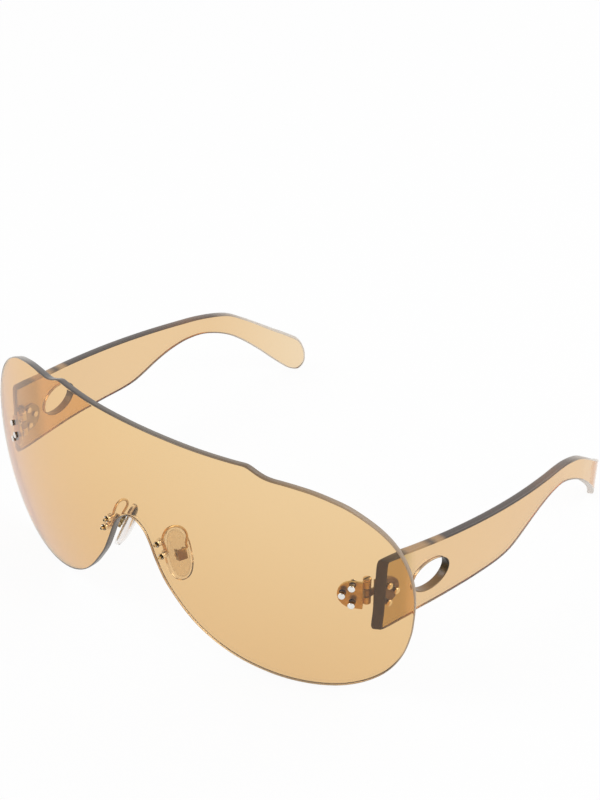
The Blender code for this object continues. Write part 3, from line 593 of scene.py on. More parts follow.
# %% The temple's sizes and curves
TEMPLE_LENGTH = 114.7 * MM
TEMPLE_RISE = 40.9 * MM
TEMPLE_THICK = 2.4 * MM
TEMPLE_EDGE = 0.5 * MM
TEMPLE_PLATE_STAND = 0.8 * MM
TEMPLE_PLATE_LENGTH = 6.6 * MM
TEMPLE_END_GAP = 1.3 * MM
MITRE_RUN = 6 * MM
TIP_START = 80 * MM
TIP_LEAN = 1.3 * MM
TIP_LEAN_HEIGHT = 18.4 * MM
TIP_THINNING = 0.25
TEMPLE_FACE = TEMPLE_PLATE_STAND + PLATE_THICK + FIT + TEMPLE_THICK
SLOPE_REACH = 1.5 * MM
TEMPLE_OUTLINE = (
    (0.0055, 0.98), (0.0085, 0.998), (0.02, 0.9995), (0.1, 0.9665), (0.22, 0.919), (0.35, 0.8685),
    (0.48, 0.818), (0.59, 0.775), (0.66, 0.747), (0.72, 0.708), (0.77, 0.6575), (0.825, 0.565),
    (0.8745, 0.472), (0.918, 0.389), (0.96, 0.3105), (0.986, 0.253), (0.997, 0.183), (1.0, 0.112),
    (0.9955, 0.044), (0.98, 0.0), (0.957, 0.0195), (0.9335, 0.076), (0.861, 0.274), (0.769, 0.479),
    (0.68, 0.5915), (0.6215, 0.609), (0.576, 0.5965), (0.536, 0.572), (0.4995, 0.5405), (0.4645, 0.506),
    (0.428, 0.477), (0.387, 0.467), (0.298, 0.477), (0.2135, 0.4905), (0.135, 0.4995), (0.06, 0.5075),
    (0.012, 0.5105), (-0.0015, 0.517), (-0.0045, 0.537), (-0.0015, 0.65), (0.002, 0.82),
)
TEMPLE_PLAN = (
    (-0.02, -0.0035), (0.0, 0.0), (0.09, 0.0153), (0.19, 0.0288), (0.3, 0.0371), (0.4, 0.0392),
    (0.5, 0.0357), (0.6, 0.027), (0.7, 0.0144), (0.8, 0.0031), (0.88, -0.0131), (0.94, -0.0375),
    (1.0, -0.0697), (1.02, -0.0815),
)
plan = smooth_curve([Vector(p) * TEMPLE_LENGTH for p in TEMPLE_PLAN], 1.2 * MM, closed=False)


def plan_at(back):
    """How far out the face lies and how it slopes, that far back; the slope is smoothed over a few mm."""
    ends = []
    for spot in (back - SLOPE_REACH, back, back + SLOPE_REACH):
        for a, b in zip(plan, plan[1:]):
            if spot <= b.x:
                break
        ends.append(a.y + (b.y - a.y) / (b.x - a.x) * (spot - a.x))
    return ends[1], (ends[2] - ends[0]) / (2 * SLOPE_REACH)


def temple_frame():
    _, slope = plan_at(TEMPLE_PLATE_LENGTH / 2)
    back = Vector((slope, 1, 0)).normalized()
    return frame_from(HINGE.translation, back.cross(UP), back, UP)


TEMPLE = temple_frame()
OUTWARDS = TEMPLE.to_3x3() @ Vector((1, 0, 0))
print("temple frame turned by", round(math.degrees(math.atan2(OUTWARDS.y, OUTWARDS.x)), 2), "degrees")


# %% Where the temple's surface lies
def temple_front():
    """Where the outer face meets the front end, a small gap behind the lens."""
    start = TEMPLE @ Vector((TEMPLE_FACE, 0, 0))
    y = behind_lens(start.x, HINGE_HEIGHT).y + TEMPLE_END_GAP
    along = TEMPLE.to_3x3() @ Vector((0, 1, 0))
    return start + along * ((y - start.y) / along.y)


FRONT = temple_front()
FRONT_LEVEL = plan_at(0.0)[0]


def temple_point(p, depth):
    out, slope = plan_at(p.x)
    into = Vector((-1, slope, 0)).normalized()
    mitre = depth * (FRONT.x / WRAP_RADIUS + slope) * max(0.0, 1 - max(p.x, 0.0) / MITRE_RUN)
    tip = max(0.0, p.x - TIP_START) / (TEMPLE_LENGTH - TIP_START)
    lean = TIP_LEAN * tip * tip * max(0.0, 1 - p.y / TIP_LEAN_HEIGHT)
    spot = Vector((FRONT.x + out - FRONT_LEVEL - lean, FRONT.y + p.x - mitre, p.y))
    return spot + depth * (1 - TIP_THINNING * tip) * into


print("temple's front corner at", [round(v / MM, 2) for v in FRONT], "mm")

# %% [markdown]
# ## Turned pieces and cuts
# Screws, bushes, barrel knuckles and bores are all turned on a lathe, so one function makes them
# from a profile of radius and height. Bores and slots are then cut out by a modifier, which is
# baked into a plain mesh at once.


# %% Turn a profile round an axis
def stacked(rings):
    """A closed solid through rings of equal count; a ring of one point is a pole."""
    mesh = bmesh.new()
    made = [[mesh.verts.new(p) for p in ring] for ring in rings]
    for near, far in zip(made, made[1:]):
        count = max(len(near), len(far))
        for i in range(count):
            j = (i + 1) % count
            corners = [near[i % len(near)], near[j % len(near)], far[j % len(far)], far[i % len(far)]]
            mesh.faces.new(list(dict.fromkeys(corners)))
    for ring in (made[0], made[-1]):
        if len(ring) > 1:
            mesh.faces.new(ring)
    return finished(mesh)


def ring_round(place_at, radius, height, sides):
    turns = [2 * math.pi * k / sides for k in range(sides)]
    return [place_at @ Vector((radius * math.cos(t), radius * math.sin(t), height)) for t in turns]


def turned(place_at, profile, sides=40):
    """A solid turned round the placement's Z from (radius, height) points."""
    return stacked([ring_round(place_at, *point, sides if point[0] else 1) for point in profile])


def sleeve(place_at, profile, sides=40):
    """A turned ring, whose profile is closed and never meets the axis."""
    mesh = bmesh.new()
    rings = [[mesh.verts.new(p) for p in ring_round(place_at, *point, sides)] for point in profile]
    bridge(mesh, [*rings, rings[0]])
    return finished(mesh)


def block(place_at, low, high):
    (a, b, c), (d, e, f) = low, high
    spots = [(a, b), (d, b), (d, e), (a, e)]
    return stacked([[place_at @ Vector((x, y, z)) for x, y in spots] for z in (c, f)])


print("a block has", len(block(HINGE, (0, 0, 0), (MM, MM, MM)).polygons), "faces")


# %% Bake a modifier and cut bores
def changed(mesh, kind, inputs=(), **settings):
    """The mesh with one modifier baked in. Inputs of a node tree are (identifier, value)."""
    item = shown("host", mesh)
    change = item.modifiers.new("change", kind)
    for key, value in settings.items():
        setattr(change, key, value)
    for identifier, value in inputs:
        change[identifier] = value
    made = bpy.data.meshes.new_from_object(item.evaluated_get(bpy.context.evaluated_depsgraph_get()))
    item.modifiers.clear()
    bpy.data.objects.remove(item, do_unlink=True)
    return made


def cut(mesh, cutters):
    """The mesh with the cutters' bores in it. Empty slots keep the faces' kinds through the cut."""
    bores = joined(cutters)
    bores.polygons.foreach_set("material_index", [BORE_WALL] * len(bores.polygons))
    for part in (mesh, bores):
        while len(part.materials) <= BORE_WALL:
            part.materials.append(None)
    cutter = shown("cutter", bores)
    made = changed(mesh, "BOOLEAN", operation="DIFFERENCE", solver="EXACT", object=cutter)
    bpy.data.objects.remove(cutter, do_unlink=True)
    return made


print("lathe and cutters ready")

# %% Make the temples
TEMPLE_STEP = 1.1 * MM
PIERCE_CENTRE = Vector((16, 29.2)) * MM
PIERCE_LENGTH = 12.4 * MM
PIERCE_WIDTH = 8.2 * MM
PIERCE_ROUNDING = 0.25 * MM
OVERRUN = 1 * MM


def make_temple():
    points = [Vector((back * TEMPLE_LENGTH, up * TEMPLE_RISE)) for back, up in TEMPLE_OUTLINE]
    turns = [2 * math.pi * k / 72 for k in range(72)]
    oval = [Vector((PIERCE_LENGTH * math.cos(t), PIERCE_WIDTH * math.sin(t))) / 2 for t in turns]
    holes = [([PIERCE_CENTRE + p for p in oval], PIERCE_ROUNDING, INNER_WALL)]
    outline = smooth_curve(points, OUTLINE_STEP)
    body = bent_sheet(outline, holes, temple_point, TEMPLE_THICK, TEMPLE_EDGE, TEMPLE_STEP)
    bores = []
    for _, along, up in TEMPLE_RIVETS:
        start = axis_frame(TEMPLE @ Vector((TEMPLE_FACE, along * MM, up * MM)), OUTWARDS)
        radius = RIVET_RADIUS + FIT
        bores.append(turned(start, [(radius, -TEMPLE_THICK - OVERRUN), (radius, OVERRUN)], 24))
    return cut(body, bores)


place_pairs(("temple_arm_{}", make_temple(), temple_amber, "amber_temple", "temple_{}", ["temple_{}"]))

# %% [markdown]
# ## Metals
# The hinges and the wire are gilt. Rolled plate is satin with fine brushing along it, the screws
# are turned and brighter, and the rivet heads are struck and polished. Each is a Principled metal
# whose roughness and faint bump come from noise stretched along the way the metal was worked.
# A darker copy of the plate is painted shade, and the faces in the screws' slots and in the left
# arm's cups are painted dark as shade. The rivets' shanks, sleeves and washers are dark.

# %% Worked metal
EVEN_GRAIN = (1500.0, 1500.0, 1500.0)
ALONG_UP = (900.0, 900.0, 5000.0)
# Dark for the rivets' shanks, sleeves and washers, and painted shade on the faces of the screws' slots.
DARK_SHANK_AND_SLOT_SHADE = (0.045, 0.036, 0.028)
# Painted shade inside the cups of the left arm's prongs.
CUP_SHADE = (0.01, 0.01, 0.01)


def worked_metal(name, pale, deep, rough, run=EVEN_GRAIN, bump=0.08, shank=None):
    """shank is the colour of the faces whose "wall" is set: a rivet's dark shank, sleeve and washer, and a
    screw's slot, where it is painted shade.
    """
    made, tree, shader = blank_material(name, {"Metallic": 1.0})
    where = on_piece(tree)
    stretched = node(tree, "ShaderNodeMapping", {"Vector": where, "Scale": run}).outputs["Vector"]
    marks = grain(tree, stretched, 1.0, 4.0)
    tone = ranged(tree, grain(tree, where, 420.0, 2.0), 0.35, 0.65, 0.0, 1.0)
    colour = two_tone(tree, tone, pale, deep)
    if shank:
        colour = two_tone(tree, wall_kind(tree), colour, shank)
    feed(tree, shader, {
        "Base Color": colour,
        "Roughness": ranged(tree, marks, 0.3, 0.7, rough * 0.7, rough * 1.3),
        "Normal": bumped(tree, marks, bump, 0.00005),
    })
    return made


PLATE_TONES = (0.82, 0.68, 0.33), (0.7, 0.56, 0.26)
SHADED_TONES = (0.42, 0.32, 0.16), (0.34, 0.26, 0.13)
SCREW_TONES = (0.78, 0.62, 0.38), (0.7, 0.54, 0.32)
SILVER_TONES = (0.82, 0.8, 0.76), (0.74, 0.72, 0.68)
PALE_GOLD_TONES = (0.9, 0.8, 0.6), (0.8, 0.69, 0.48)
WIRE_TONES = (0.82, 0.68, 0.45), (0.7, 0.56, 0.35)
plate_metal = worked_metal("brushed gilt plate", *PLATE_TONES, 0.34, ALONG_UP, 0.15)
# A darker copy of the plate metal, painted shade, for the temple's plates that lie in shadow and for the pad
# boxes.
plate_shaded = worked_metal("shaded gilt plate", *SHADED_TONES, 0.38, ALONG_UP, 0.15)
# The slots' faces take the dark shank colour: painted shade.
barrel_metal = worked_metal("turned gilt screw", *SCREW_TONES, 0.2, ALONG_UP, shank=DARK_SHANK_AND_SLOT_SHADE)
rivet_silver = worked_metal("struck silver rivet", *SILVER_TONES, 0.16, shank=DARK_SHANK_AND_SLOT_SHADE)
rivet_gold = worked_metal("struck pale gold rivet", *PALE_GOLD_TONES, 0.2, shank=DARK_SHANK_AND_SLOT_SHADE)
wire_gold = worked_metal("drawn gold wire", *WIRE_TONES, 0.18)
wire_shaded_cups = worked_metal("drawn gold wire with painted shade in its cups", *WIRE_TONES, 0.18, shank=CUP_SHADE)
metals = (plate_metal, plate_shaded, barrel_metal, rivet_silver, rivet_gold, wire_gold, wire_shaded_cups)
print("metals:", [metal.name for metal in metals])

# %% [markdown]
# ## Hinge plates
# A tongue-shaped plate lies behind the lens and another inside the temple. Each has its own
# knuckles rolled from the same metal: two on the lens's plate, one between them on the temple's.
# They are cut from sheet like the lens, so the same sheet function makes them, with a fine eased
# edge. A union would spoil the clean faces, so the knuckles and necks just sink into the plate.

# %% The plates' sizes
FRONT_PLATE_LENGTH = 6.3 * MM
FRONT_PLATE_ROOT = 0.7 * MM
FRONT_PLATE_HEIGHT = 7.7 * MM
FRONT_PLATE_LIFT = -0.1 * MM
TEMPLE_PLATE_HEIGHT = 7.6 * MM
TEMPLE_PLATE_LIFT = -0.4 * MM
TEMPLE_PLATE_ROOT = KNUCKLE_RADIUS + 0.3 * MM
PLATE_EASE = 0.1 * MM
PLATE_STEP = 0.8 * MM
BARREL_HEIGHT = 6.6 * MM
PIN_RADIUS = 0.5 * MM
NECK_LENGTH = 0.4 * MM
NECK_SINK = 0.65 * MM
KNUCKLE_HEIGHT = (BARREL_HEIGHT - 2 * FIT) / 3


def tongue_plate(length, height, rivets, root, lift, surface):
    """A plate from its square root to its half-round end, bored for its rivets."""
    radius = height / 2
    turns = [-math.pi / 2 + math.pi * k / 40 for k in range(41)]
    outline = [Vector((0, radius - 2 * radius * k / 12)) for k in range(13)]
    outline += [Vector((length - radius + radius * math.cos(t), radius * math.sin(t))) for t in turns]
    holes = []
    for _, along, up in rivets:
        centre = Vector((along * MM - root, up * MM - lift))
        holes.append((circle(centre, RIVET_RADIUS + CLOSE_FIT, 20), 0.03 * MM, BORE_WALL))
    return bent_sheet(outline, holes, surface, PLATE_THICK, PLATE_EASE, PLATE_STEP, 3)


def knuckle(index):
    """A knuckle's profile, and the foot and the top of its neck."""
    low = -BARREL_HEIGHT / 2 + index * (KNUCKLE_HEIGHT + FIT)
    high = low + KNUCKLE_HEIGHT
    bore, ease = PIN_RADIUS + CLOSE_FIT, PLATE_EASE
    profile = [
        (bore, low), (KNUCKLE_RADIUS - ease, low), (KNUCKLE_RADIUS, low + ease),
        (KNUCKLE_RADIUS, high - ease), (KNUCKLE_RADIUS - ease, high), (bore, high),
    ]
    return profile, low + ease, high - ease


print("knuckles are", round(KNUCKLE_HEIGHT / MM, 2), "mm high")


# %% Make the plates
def on_front_plate(p, depth):
    return HINGE @ Vector((-FRONT_PLATE_ROOT - p.x, depth - PLATE_FACE, p.y + FRONT_PLATE_LIFT))


def on_temple_plate(p, depth):
    return TEMPLE @ Vector((TEMPLE_PLATE_STAND + depth, TEMPLE_PLATE_ROOT + p.x, p.y + TEMPLE_PLATE_LIFT))


def make_front_plate():
    meshes = [tongue_plate(
        FRONT_PLATE_LENGTH, FRONT_PLATE_HEIGHT, LENS_RIVETS,
        FRONT_PLATE_ROOT, FRONT_PLATE_LIFT, on_front_plate,
    )]
    for index in (0, 2):
        profile, foot, top = knuckle(index)
        near = (-FRONT_PLATE_ROOT - NECK_LENGTH, FIT - PLATE_FACE, foot)
        meshes += [sleeve(HINGE, profile), block(HINGE, near, (-NECK_SINK, -KNUCKLE_RADIUS * 0.55, top))]
    return joined(meshes)


def make_temple_plate():
    plate = tongue_plate(
        TEMPLE_PLATE_LENGTH, TEMPLE_PLATE_HEIGHT, TEMPLE_RIVETS,
        TEMPLE_PLATE_ROOT, TEMPLE_PLATE_LIFT, on_temple_plate,
    )
    profile, foot, top = knuckle(1)
    far = (TEMPLE_PLATE_STAND + PLATE_THICK / 2, TEMPLE_PLATE_ROOT + NECK_LENGTH, top)
    return joined([plate, sleeve(TEMPLE, profile), block(TEMPLE, (NECK_SINK, -0.1 * MM, foot), far)])


# The temple's plates take the darker copy of the plate metal: painted shade.
place_pairs(
    ("lens_plate_{}", make_front_plate(), plate_metal, "hinge_metal", "front", ["front_hinge_plate_{}"]),
    (
        "temple_plate_{}", make_temple_plate(), plate_shaded, "hinge_metal", "temple_{}",
        ["temple_hinge_plate_{}"],
    ),
)

# %% [markdown]
# ## Hinge screws
# A small slotted screw is the hinge's pin. Its head stands on the top knuckle. The slot is a cut
# across the crown, and its faces are painted dark as painted shade, for the dark line in it.

# %% Make the hinge screws
SCREW_HEAD_RADIUS = 1.1 * MM
SCREW_HEAD_HEIGHT = 0.6 * MM
SLOT_HALF = 0.175 * MM
SLOT_DEPTH = 0.32 * MM
SLOT_TURN = Matrix.Rotation(math.radians(46), 4, "Z")


def make_hinge_screw():
    foot, top = -BARREL_HEIGHT / 2, BARREL_HEIGHT / 2 + FIT
    crown = top + SCREW_HEAD_HEIGHT
    profile = [(0, foot), (PIN_RADIUS, foot), (PIN_RADIUS, top), (SCREW_HEAD_RADIUS, top)]
    for k in (0.0, 0.35, 0.7, 1.0):
        profile.append((SCREW_HEAD_RADIUS * (1 - 0.3 * k * k), top + SCREW_HEAD_HEIGHT * (0.5 + 0.42 * k)))
    reach = 2 * SCREW_HEAD_RADIUS
    far = (reach, SLOT_HALF, crown + OVERRUN)
    slot = block(HINGE @ SLOT_TURN, (-reach, -SLOT_HALF, crown - SLOT_DEPTH), far)
    return cut(turned(HINGE, [*profile, (0, crown)]), [slot])


hinge_screw = make_hinge_screw()
place_pairs(("slotted_screw_{}", hinge_screw, barrel_metal, "hinge_metal", "front", ["hinge_screw_{}"]))

# %% [markdown]
# ## Rivets
# Twelve rivets are the same piece in two lengths, so they are made once and repeated. The node
# tree shapes one rivet from a cylinder whose top is lifted into a dome, adds a shank in a dark
# sleeve with its washer and an upset tail, and sets it on every point of a small points mesh,
# turned along each point's own direction. The wire later in this lesson is a tree too, so both
# begin and end in the same way: the tree must end in real meshes that carry their material.


# %% How a tree begins and ends
def geometry_tree(name, takes, sizes, gives):
    """A tree that takes a geometry, sizes by name and a finish, and the sockets it is given."""
    tree = bpy.data.node_groups.new(name, "GeometryNodeTree")
    ports = [(takes, "INPUT", "Geometry"), *((size, "INPUT", "Float") for size in sizes)]
    ports += [("Finish", "INPUT", "Material"), (gives, "OUTPUT", "Geometry")]
    for title, way, kind in ports:
        tree.interface.new_socket(title, in_out=way, socket_type=f"NodeSocket{kind}")
    return tree, node(tree, "NodeGroupInput").outputs


def ended(tree, shape, given):
    solid = node(tree, "GeometryNodeRealizeInstances", {0: shape}).outputs[0]
    dressed = node(tree, "GeometryNodeSetMaterial", {"Geometry": solid, "Material": given["Finish"]})
    node(tree, "NodeGroupOutput", {0: dressed.outputs[0]})
    print(tree.name, "has", len(tree.nodes), "nodes")
    return tree


def baked(tree, mesh, values):
    """The tree run on a mesh with named values, as one plain mesh."""
    ports = [port for port in tree.interface.items_tree if port.in_out == "INPUT" and port.name in values]
    return changed(mesh, "NODES", [(port.identifier, values[port.name]) for port in ports], node_group=tree)


print("trees end in Realize Instances and Set Material")

# %% Build the rivet tree
RIVET_SIZES = (
    "Head Radius", "Head Height", "Shank Radius", "Shank Length", "Tail Radius", "Tail Height",
    "Sleeve Radius", "Sleeve Length", "Washer Radius", "Washer Height",
)


def rivet_tree():
    tree, given = geometry_tree("rivets on points", "Points", RIVET_SIZES, "Rivets")

    def sum_of(a, b, operation="ADD"):
        return maths(tree, operation, a, b)

    def upright(z):
        return node(tree, "ShaderNodeCombineXYZ", {"Z": z}).outputs[0]

    def drum(kind, base, rings, height=None):
        """A cylinder of the named radius on a base, as tall as given or as its own named size."""
        height = height or given[f"{kind} Length" if kind in ("Shank", "Sleeve") else f"{kind} Height"]
        inputs = {"Vertices": 36, "Fill Segments": rings, "Radius": given[f"{kind} Radius"], "Depth": height}
        made = node(tree, "GeometryNodeMeshCylinder", inputs, fill_type="TRIANGLE_FAN").outputs["Mesh"]
        middle = upright(sum_of(base, sum_of(height, 0.5, "MULTIPLY")))
        return node(tree, "GeometryNodeTransform", {"Geometry": made, "Translation": middle}).outputs[0]

    def domed(mesh, radius, height, flat):
        """Lifts what lies above the flat rim into a dome."""
        spot = node(tree, "GeometryNodeInputPosition").outputs[0]
        x, y, z = node(tree, "ShaderNodeSeparateXYZ", {0: spot}).outputs
        out = sum_of(sum_of(x, 2, "POWER"), sum_of(y, 2, "POWER"))
        share = sum_of(out, sum_of(radius, 2, "POWER"), "DIVIDE")
        left = sum_of(sum_of(1.0001, share, "SUBTRACT"), 0.5, "POWER")
        lift = sum_of(left, sum_of(height, flat, "SUBTRACT"), "MULTIPLY")
        top = sum_of(z, sum_of(flat, 0.9, "MULTIPLY"), "GREATER_THAN")
        inputs = {"Geometry": mesh, "Selection": top, "Offset": upright(lift)}
        return node(tree, "GeometryNodeSetPosition", inputs).outputs[0]

    flat = sum_of(given["Head Height"], 0.35, "MULTIPLY")
    head = domed(drum("Head", 0.0, 8, flat), given["Head Radius"], given["Head Height"], flat)
    foot = sum_of(0, given["Shank Length"], "SUBTRACT")
    tail = drum("Tail", sum_of(foot, given["Tail Height"], "SUBTRACT"), 2)
    sleeve_foot = sum_of(0, given["Sleeve Length"], "SUBTRACT")
    dark = [drum("Shank", foot, 1), drum("Sleeve", sleeve_foot, 1), drum("Washer", sleeve_foot, 1)]
    whole = node(tree, "GeometryNodeJoinGeometry")
    for part in (head, tail, *dark):
        inputs = {"Geometry": part, "Name": "wall", "Value": float(part in dark)}
        kind = node(tree, "GeometryNodeStoreNamedAttribute", inputs, data_type="FLOAT", domain="FACE")
        feed(tree, whole, {0: kind.outputs[0]})
    way = node(tree, "GeometryNodeInputNamedAttribute", {"Name": "stands"}, data_type="FLOAT_VECTOR")
    aim = node(tree, "FunctionNodeAlignRotationToVector", {"Vector": way.outputs["Attribute"]}, axis="Z")
    inputs = {"Points": given["Points"], "Instance": whole.outputs[0], "Rotation": aim.outputs[0]}
    return ended(tree, node(tree, "GeometryNodeInstanceOnPoints", inputs).outputs[0], given)


RIVETS = rivet_tree()

# %% Set the rivets
LENS_SLEEVE = 0.64 * MM
TEMPLE_SLEEVE = 0.54 * MM


def rivets_on(spots, stack, sleeve_radius, sheet, finish):
    """Rivets on (place, direction) spots, through a stack whose outer sheet holds the sleeves."""
    mesh = bpy.data.meshes.new("points")
    mesh.from_pydata([spot for spot, _ in spots], [], [])
    stands = mesh.attributes.new("stands", "FLOAT_VECTOR", "POINT")
    for item, (_, way) in zip(stands.data, spots):
        item.vector = way
    return baked(RIVETS, mesh, {
        "Head Radius": 0.9 * MM, "Head Height": 0.5 * MM, "Shank Radius": RIVET_RADIUS,
        "Shank Length": stack, "Tail Radius": 0.8 * MM, "Tail Height": 0.3 * MM, "Finish": finish,
        "Sleeve Radius": sleeve_radius, "Sleeve Length": sheet + 1.5 * FIT,
        "Washer Radius": sleeve_radius + FIT, "Washer Height": 0.4 * FIT,
    })


lens_spots = []
stacks = []
for _, across, up in LENS_RIVETS:
    spot = lens_under(-across * MM, up * MM)
    rear = HINGE @ Vector((-across * MM, PLATE_THICK - PLATE_FACE, up * MM))
    stacks.append((rear - spot).dot(HINGE_AWAY) + 2 * FIT)
    lens_spots.append((spot - FIT * HINGE_AWAY, -HINGE_AWAY))
flip = Matrix.Diagonal((-1, 1, 1))
lens_spots += [(flip @ spot, flip @ way) for spot, way in lens_spots]
heads = rivets_on(lens_spots, max(stacks), LENS_SLEEVE, LENS_THICK, rivet_silver)
replaced = [f"lens_rivet_{row[0]}_{name}" for row in LENS_RIVETS for name in SIDES]
place("lens_rivets", heads, rivet_silver, "front", replaced)
for name, side in SIDES.items():
    flip = Matrix.Diagonal((side, 1, 1))
    spots = [TEMPLE @ Vector((TEMPLE_FACE + FIT, along * MM, up * MM)) for _, along, up in TEMPLE_RIVETS]
    spots = [(flip @ spot, flip @ OUTWARDS) for spot in spots]
    heads = rivets_on(spots, TEMPLE_THICK + PLATE_THICK + 3 * FIT, TEMPLE_SLEEVE, TEMPLE_THICK, rivet_gold)
    replaced = [f"temple_rivet_{row[0]}_{name}" for row in TEMPLE_RIVETS]
    place(f"temple_rivets_{name}", heads, rivet_gold, f"temple_{name}", replaced)

# %% [markdown]
# ## Nose pads
# A pad is a crowned oval of clear soft silicone. A small frosted plate sits in its back, and a tab
# on the plate is held by a cross screw in a box, so the pad can rock and find the nose. The
# silicone is clear but softly rough, so what lies behind it is seen hazily. The plate is faintly
# golden, which only shows where it is seen edge on and light runs a long way through it.

# %% The pads' sizes and frame
PAD_LENGTH = 14.3 * MM
PAD_WIDTH = 7.2 * MM
PAD_THICK = 2.7 * MM
PAD_LIP = 0.4 * MM
PAD_SHOULDERS = 0.85
PAD_ASIDE = 1.4 * MM
PAD_BELOW = 5.7 * MM
PAD_BEHIND = 5.3 * MM
CORE_MARGIN = 0.95 * MM
CORE_LENGTH = PAD_LENGTH - 2 * CORE_MARGIN
CORE_WIDTH = PAD_WIDTH - 2 * CORE_MARGIN
CORE_THICK = 0.5 * MM
CORE_EASE = 0.12 * MM
TAB_WIDTH = 1.1 * MM
TAB_DEPTH = 1.6 * MM
PAD_SCREW_RADIUS = 0.3 * MM
PAD_FACES = Vector((-0.836, 0.368, -0.406)).normalized()
PAD_RUNS = Vector((0.384, -0.135, -0.915)).normalized()
PIVOT_DEPTH = 0.3 * MM + TAB_DEPTH / 2 + CLOSE_FIT


def pad_frame():
    """A pad's back lies in this frame's XZ plane: Y points at the nose and Z up along the pad."""
    out, height = PRONGS[0]
    behind = lens_point(out + PAD_ASIDE, height - PAD_BELOW, LENS_THICK) + Vector((0, PAD_BEHIND, 0))
    up = -PAD_RUNS
    across = PAD_FACES.cross(up).normalized()
    return frame_from(behind, across, PAD_FACES, across.cross(PAD_FACES))


PAD = pad_frame()
PAD_CROSS = axis_frame(PAD @ Vector((0, -PIVOT_DEPTH, 0)), PAD.to_3x3() @ Vector((1, 0, 0)))
print("pad's middle at", [round(v / MM, 2) for v in PAD.translation], "mm")


# %% Soft and clear finishes
def soft_clear(name, colour, rough, absorb, density, ior):
    made, tree, shader = blank_material(name, {"Transmission Weight": 1.0, "IOR": ior})
    haze = grain(tree, on_piece(tree), 900.0, 3.0)
    feed(tree, shader, {
        "Roughness": ranged(tree, haze, 0.3, 0.7, rough * 0.7, rough * 1.3),
        "Base Color": two_tone(tree, haze, colour, [c * 0.97 for c in colour]),
    })
    soaking(tree, absorb, density)
    return made


silicone = soft_clear("clear soft silicone", (0.985, 0.975, 0.965), 0.05, (0.6, 0.5, 0.45), 40.0, 1.41)
frosted_core = soft_clear("frosted core plate", (0.99, 0.97, 0.93), 0.3, (0.9, 0.68, 0.3), 330.0, 1.45)
clear_plastic = soft_clear("clear bush plastic", (0.97, 0.95, 0.9), 0.04, (0.8, 0.7, 0.5), 150.0, 1.45)
print("soft finishes:", [finish.name for finish in (silicone, frosted_core, clear_plastic)])


# %% Make the pads
def oval_ring(width, length, depth, sides=64):
    """A ring of a pad: an oval with full shoulders."""
    ring = []
    for k in range(sides):
        turn = 2 * math.pi * k / sides
        c, s = math.cos(turn), math.sin(turn)
        x = math.copysign(abs(c) ** PAD_SHOULDERS, c) * width / 2
        z = math.copysign(abs(s) ** PAD_SHOULDERS, s) * length / 2
        ring.append(PAD @ Vector((x, depth, z)))
    return ring


def make_pad():
    pocket = CORE_THICK + FIT
    gap = 2 * FIT
    shoulder = 0.35 * PAD_THICK
    rings = [[PAD @ Vector((0, pocket, 0))], oval_ring(CORE_WIDTH * 0.6, CORE_LENGTH * 0.6, pocket)]
    rings += [oval_ring(CORE_WIDTH + gap, CORE_LENGTH + gap, depth) for depth in (pocket, 0.0)]
    for k in range(7):
        turn = math.pi / 2 * k / 6
        inset = 2 * PAD_LIP * (1 - math.sin(turn))
        rings.append(oval_ring(PAD_WIDTH - inset, PAD_LENGTH - inset, PAD_LIP * (1 - math.cos(turn))))
    rings.append(oval_ring(PAD_WIDTH, PAD_LENGTH, shoulder))
    for k in range(1, 14):
        turn = math.pi / 2 * k / 14
        rise = shoulder + (PAD_THICK - shoulder) * math.sin(turn)
        rings.append(oval_ring(PAD_WIDTH * math.cos(turn), PAD_LENGTH * math.cos(turn), rise))
    return stacked([*rings, [PAD @ Vector((0, PAD_THICK, 0))]])


def make_core():
    """The plate in the pad's back, with a rounded rim, and its pierced tab."""
    drawn, ease = 2 * CORE_EASE, CORE_EASE
    steps = ((drawn, 0.0), (0.0, ease), (0.0, CORE_THICK - ease), (drawn, CORE_THICK))
    plate = stacked([oval_ring(CORE_WIDTH - inset, CORE_LENGTH - inset, depth) for inset, depth in steps])
    half = TAB_WIDTH / 2
    bore = PAD_SCREW_RADIUS + CLOSE_FIT
    eye = sleeve(PAD_CROSS, [(bore, -half), (TAB_DEPTH / 2, -half), (TAB_DEPTH / 2, half), (bore, half)])
    neck = block(PAD, (-half, -PIVOT_DEPTH + TAB_DEPTH * 0.35, -TAB_DEPTH / 2), (half, ease, TAB_DEPTH / 2))
    return joined([plate, eye, neck])


place_pairs(
    ("soft_pad_{}", make_pad(), silicone, "pad_silicone", "nose_pad_{}", ["nose_pad_{}"]),
    ("core_plate_{}", make_core(), frosted_core, "wire_gold", "nose_pad_{}", ["pad_core_{}"]),
)

# %% [markdown]
# ## Pad boxes and their screws
# The box is a small folded channel with its mouth towards the pad. Its screw crosses it and the
# pad's tab, with a low slotted head on the side that faces the lens. The box takes the shaded
# plate metal and the slot is painted dark, both painted shade.

# %% Make the boxes and their screws
BOX_LENGTH = 2.8 * MM
BOX_WALL = 0.45 * MM
BOX_HALF = TAB_WIDTH / 2 + FIT + BOX_WALL
BOX_BACK = PIVOT_DEPTH + TAB_DEPTH / 2 + FIT + BOX_WALL
BOX_EASE = 0.08 * MM
PAD_HEAD_RADIUS = 0.6 * MM
PAD_HEAD_HEIGHT = 0.3 * MM
PAD_SLOT_HALF = 0.08 * MM
PAD_SLOT_DEPTH = 0.12 * MM


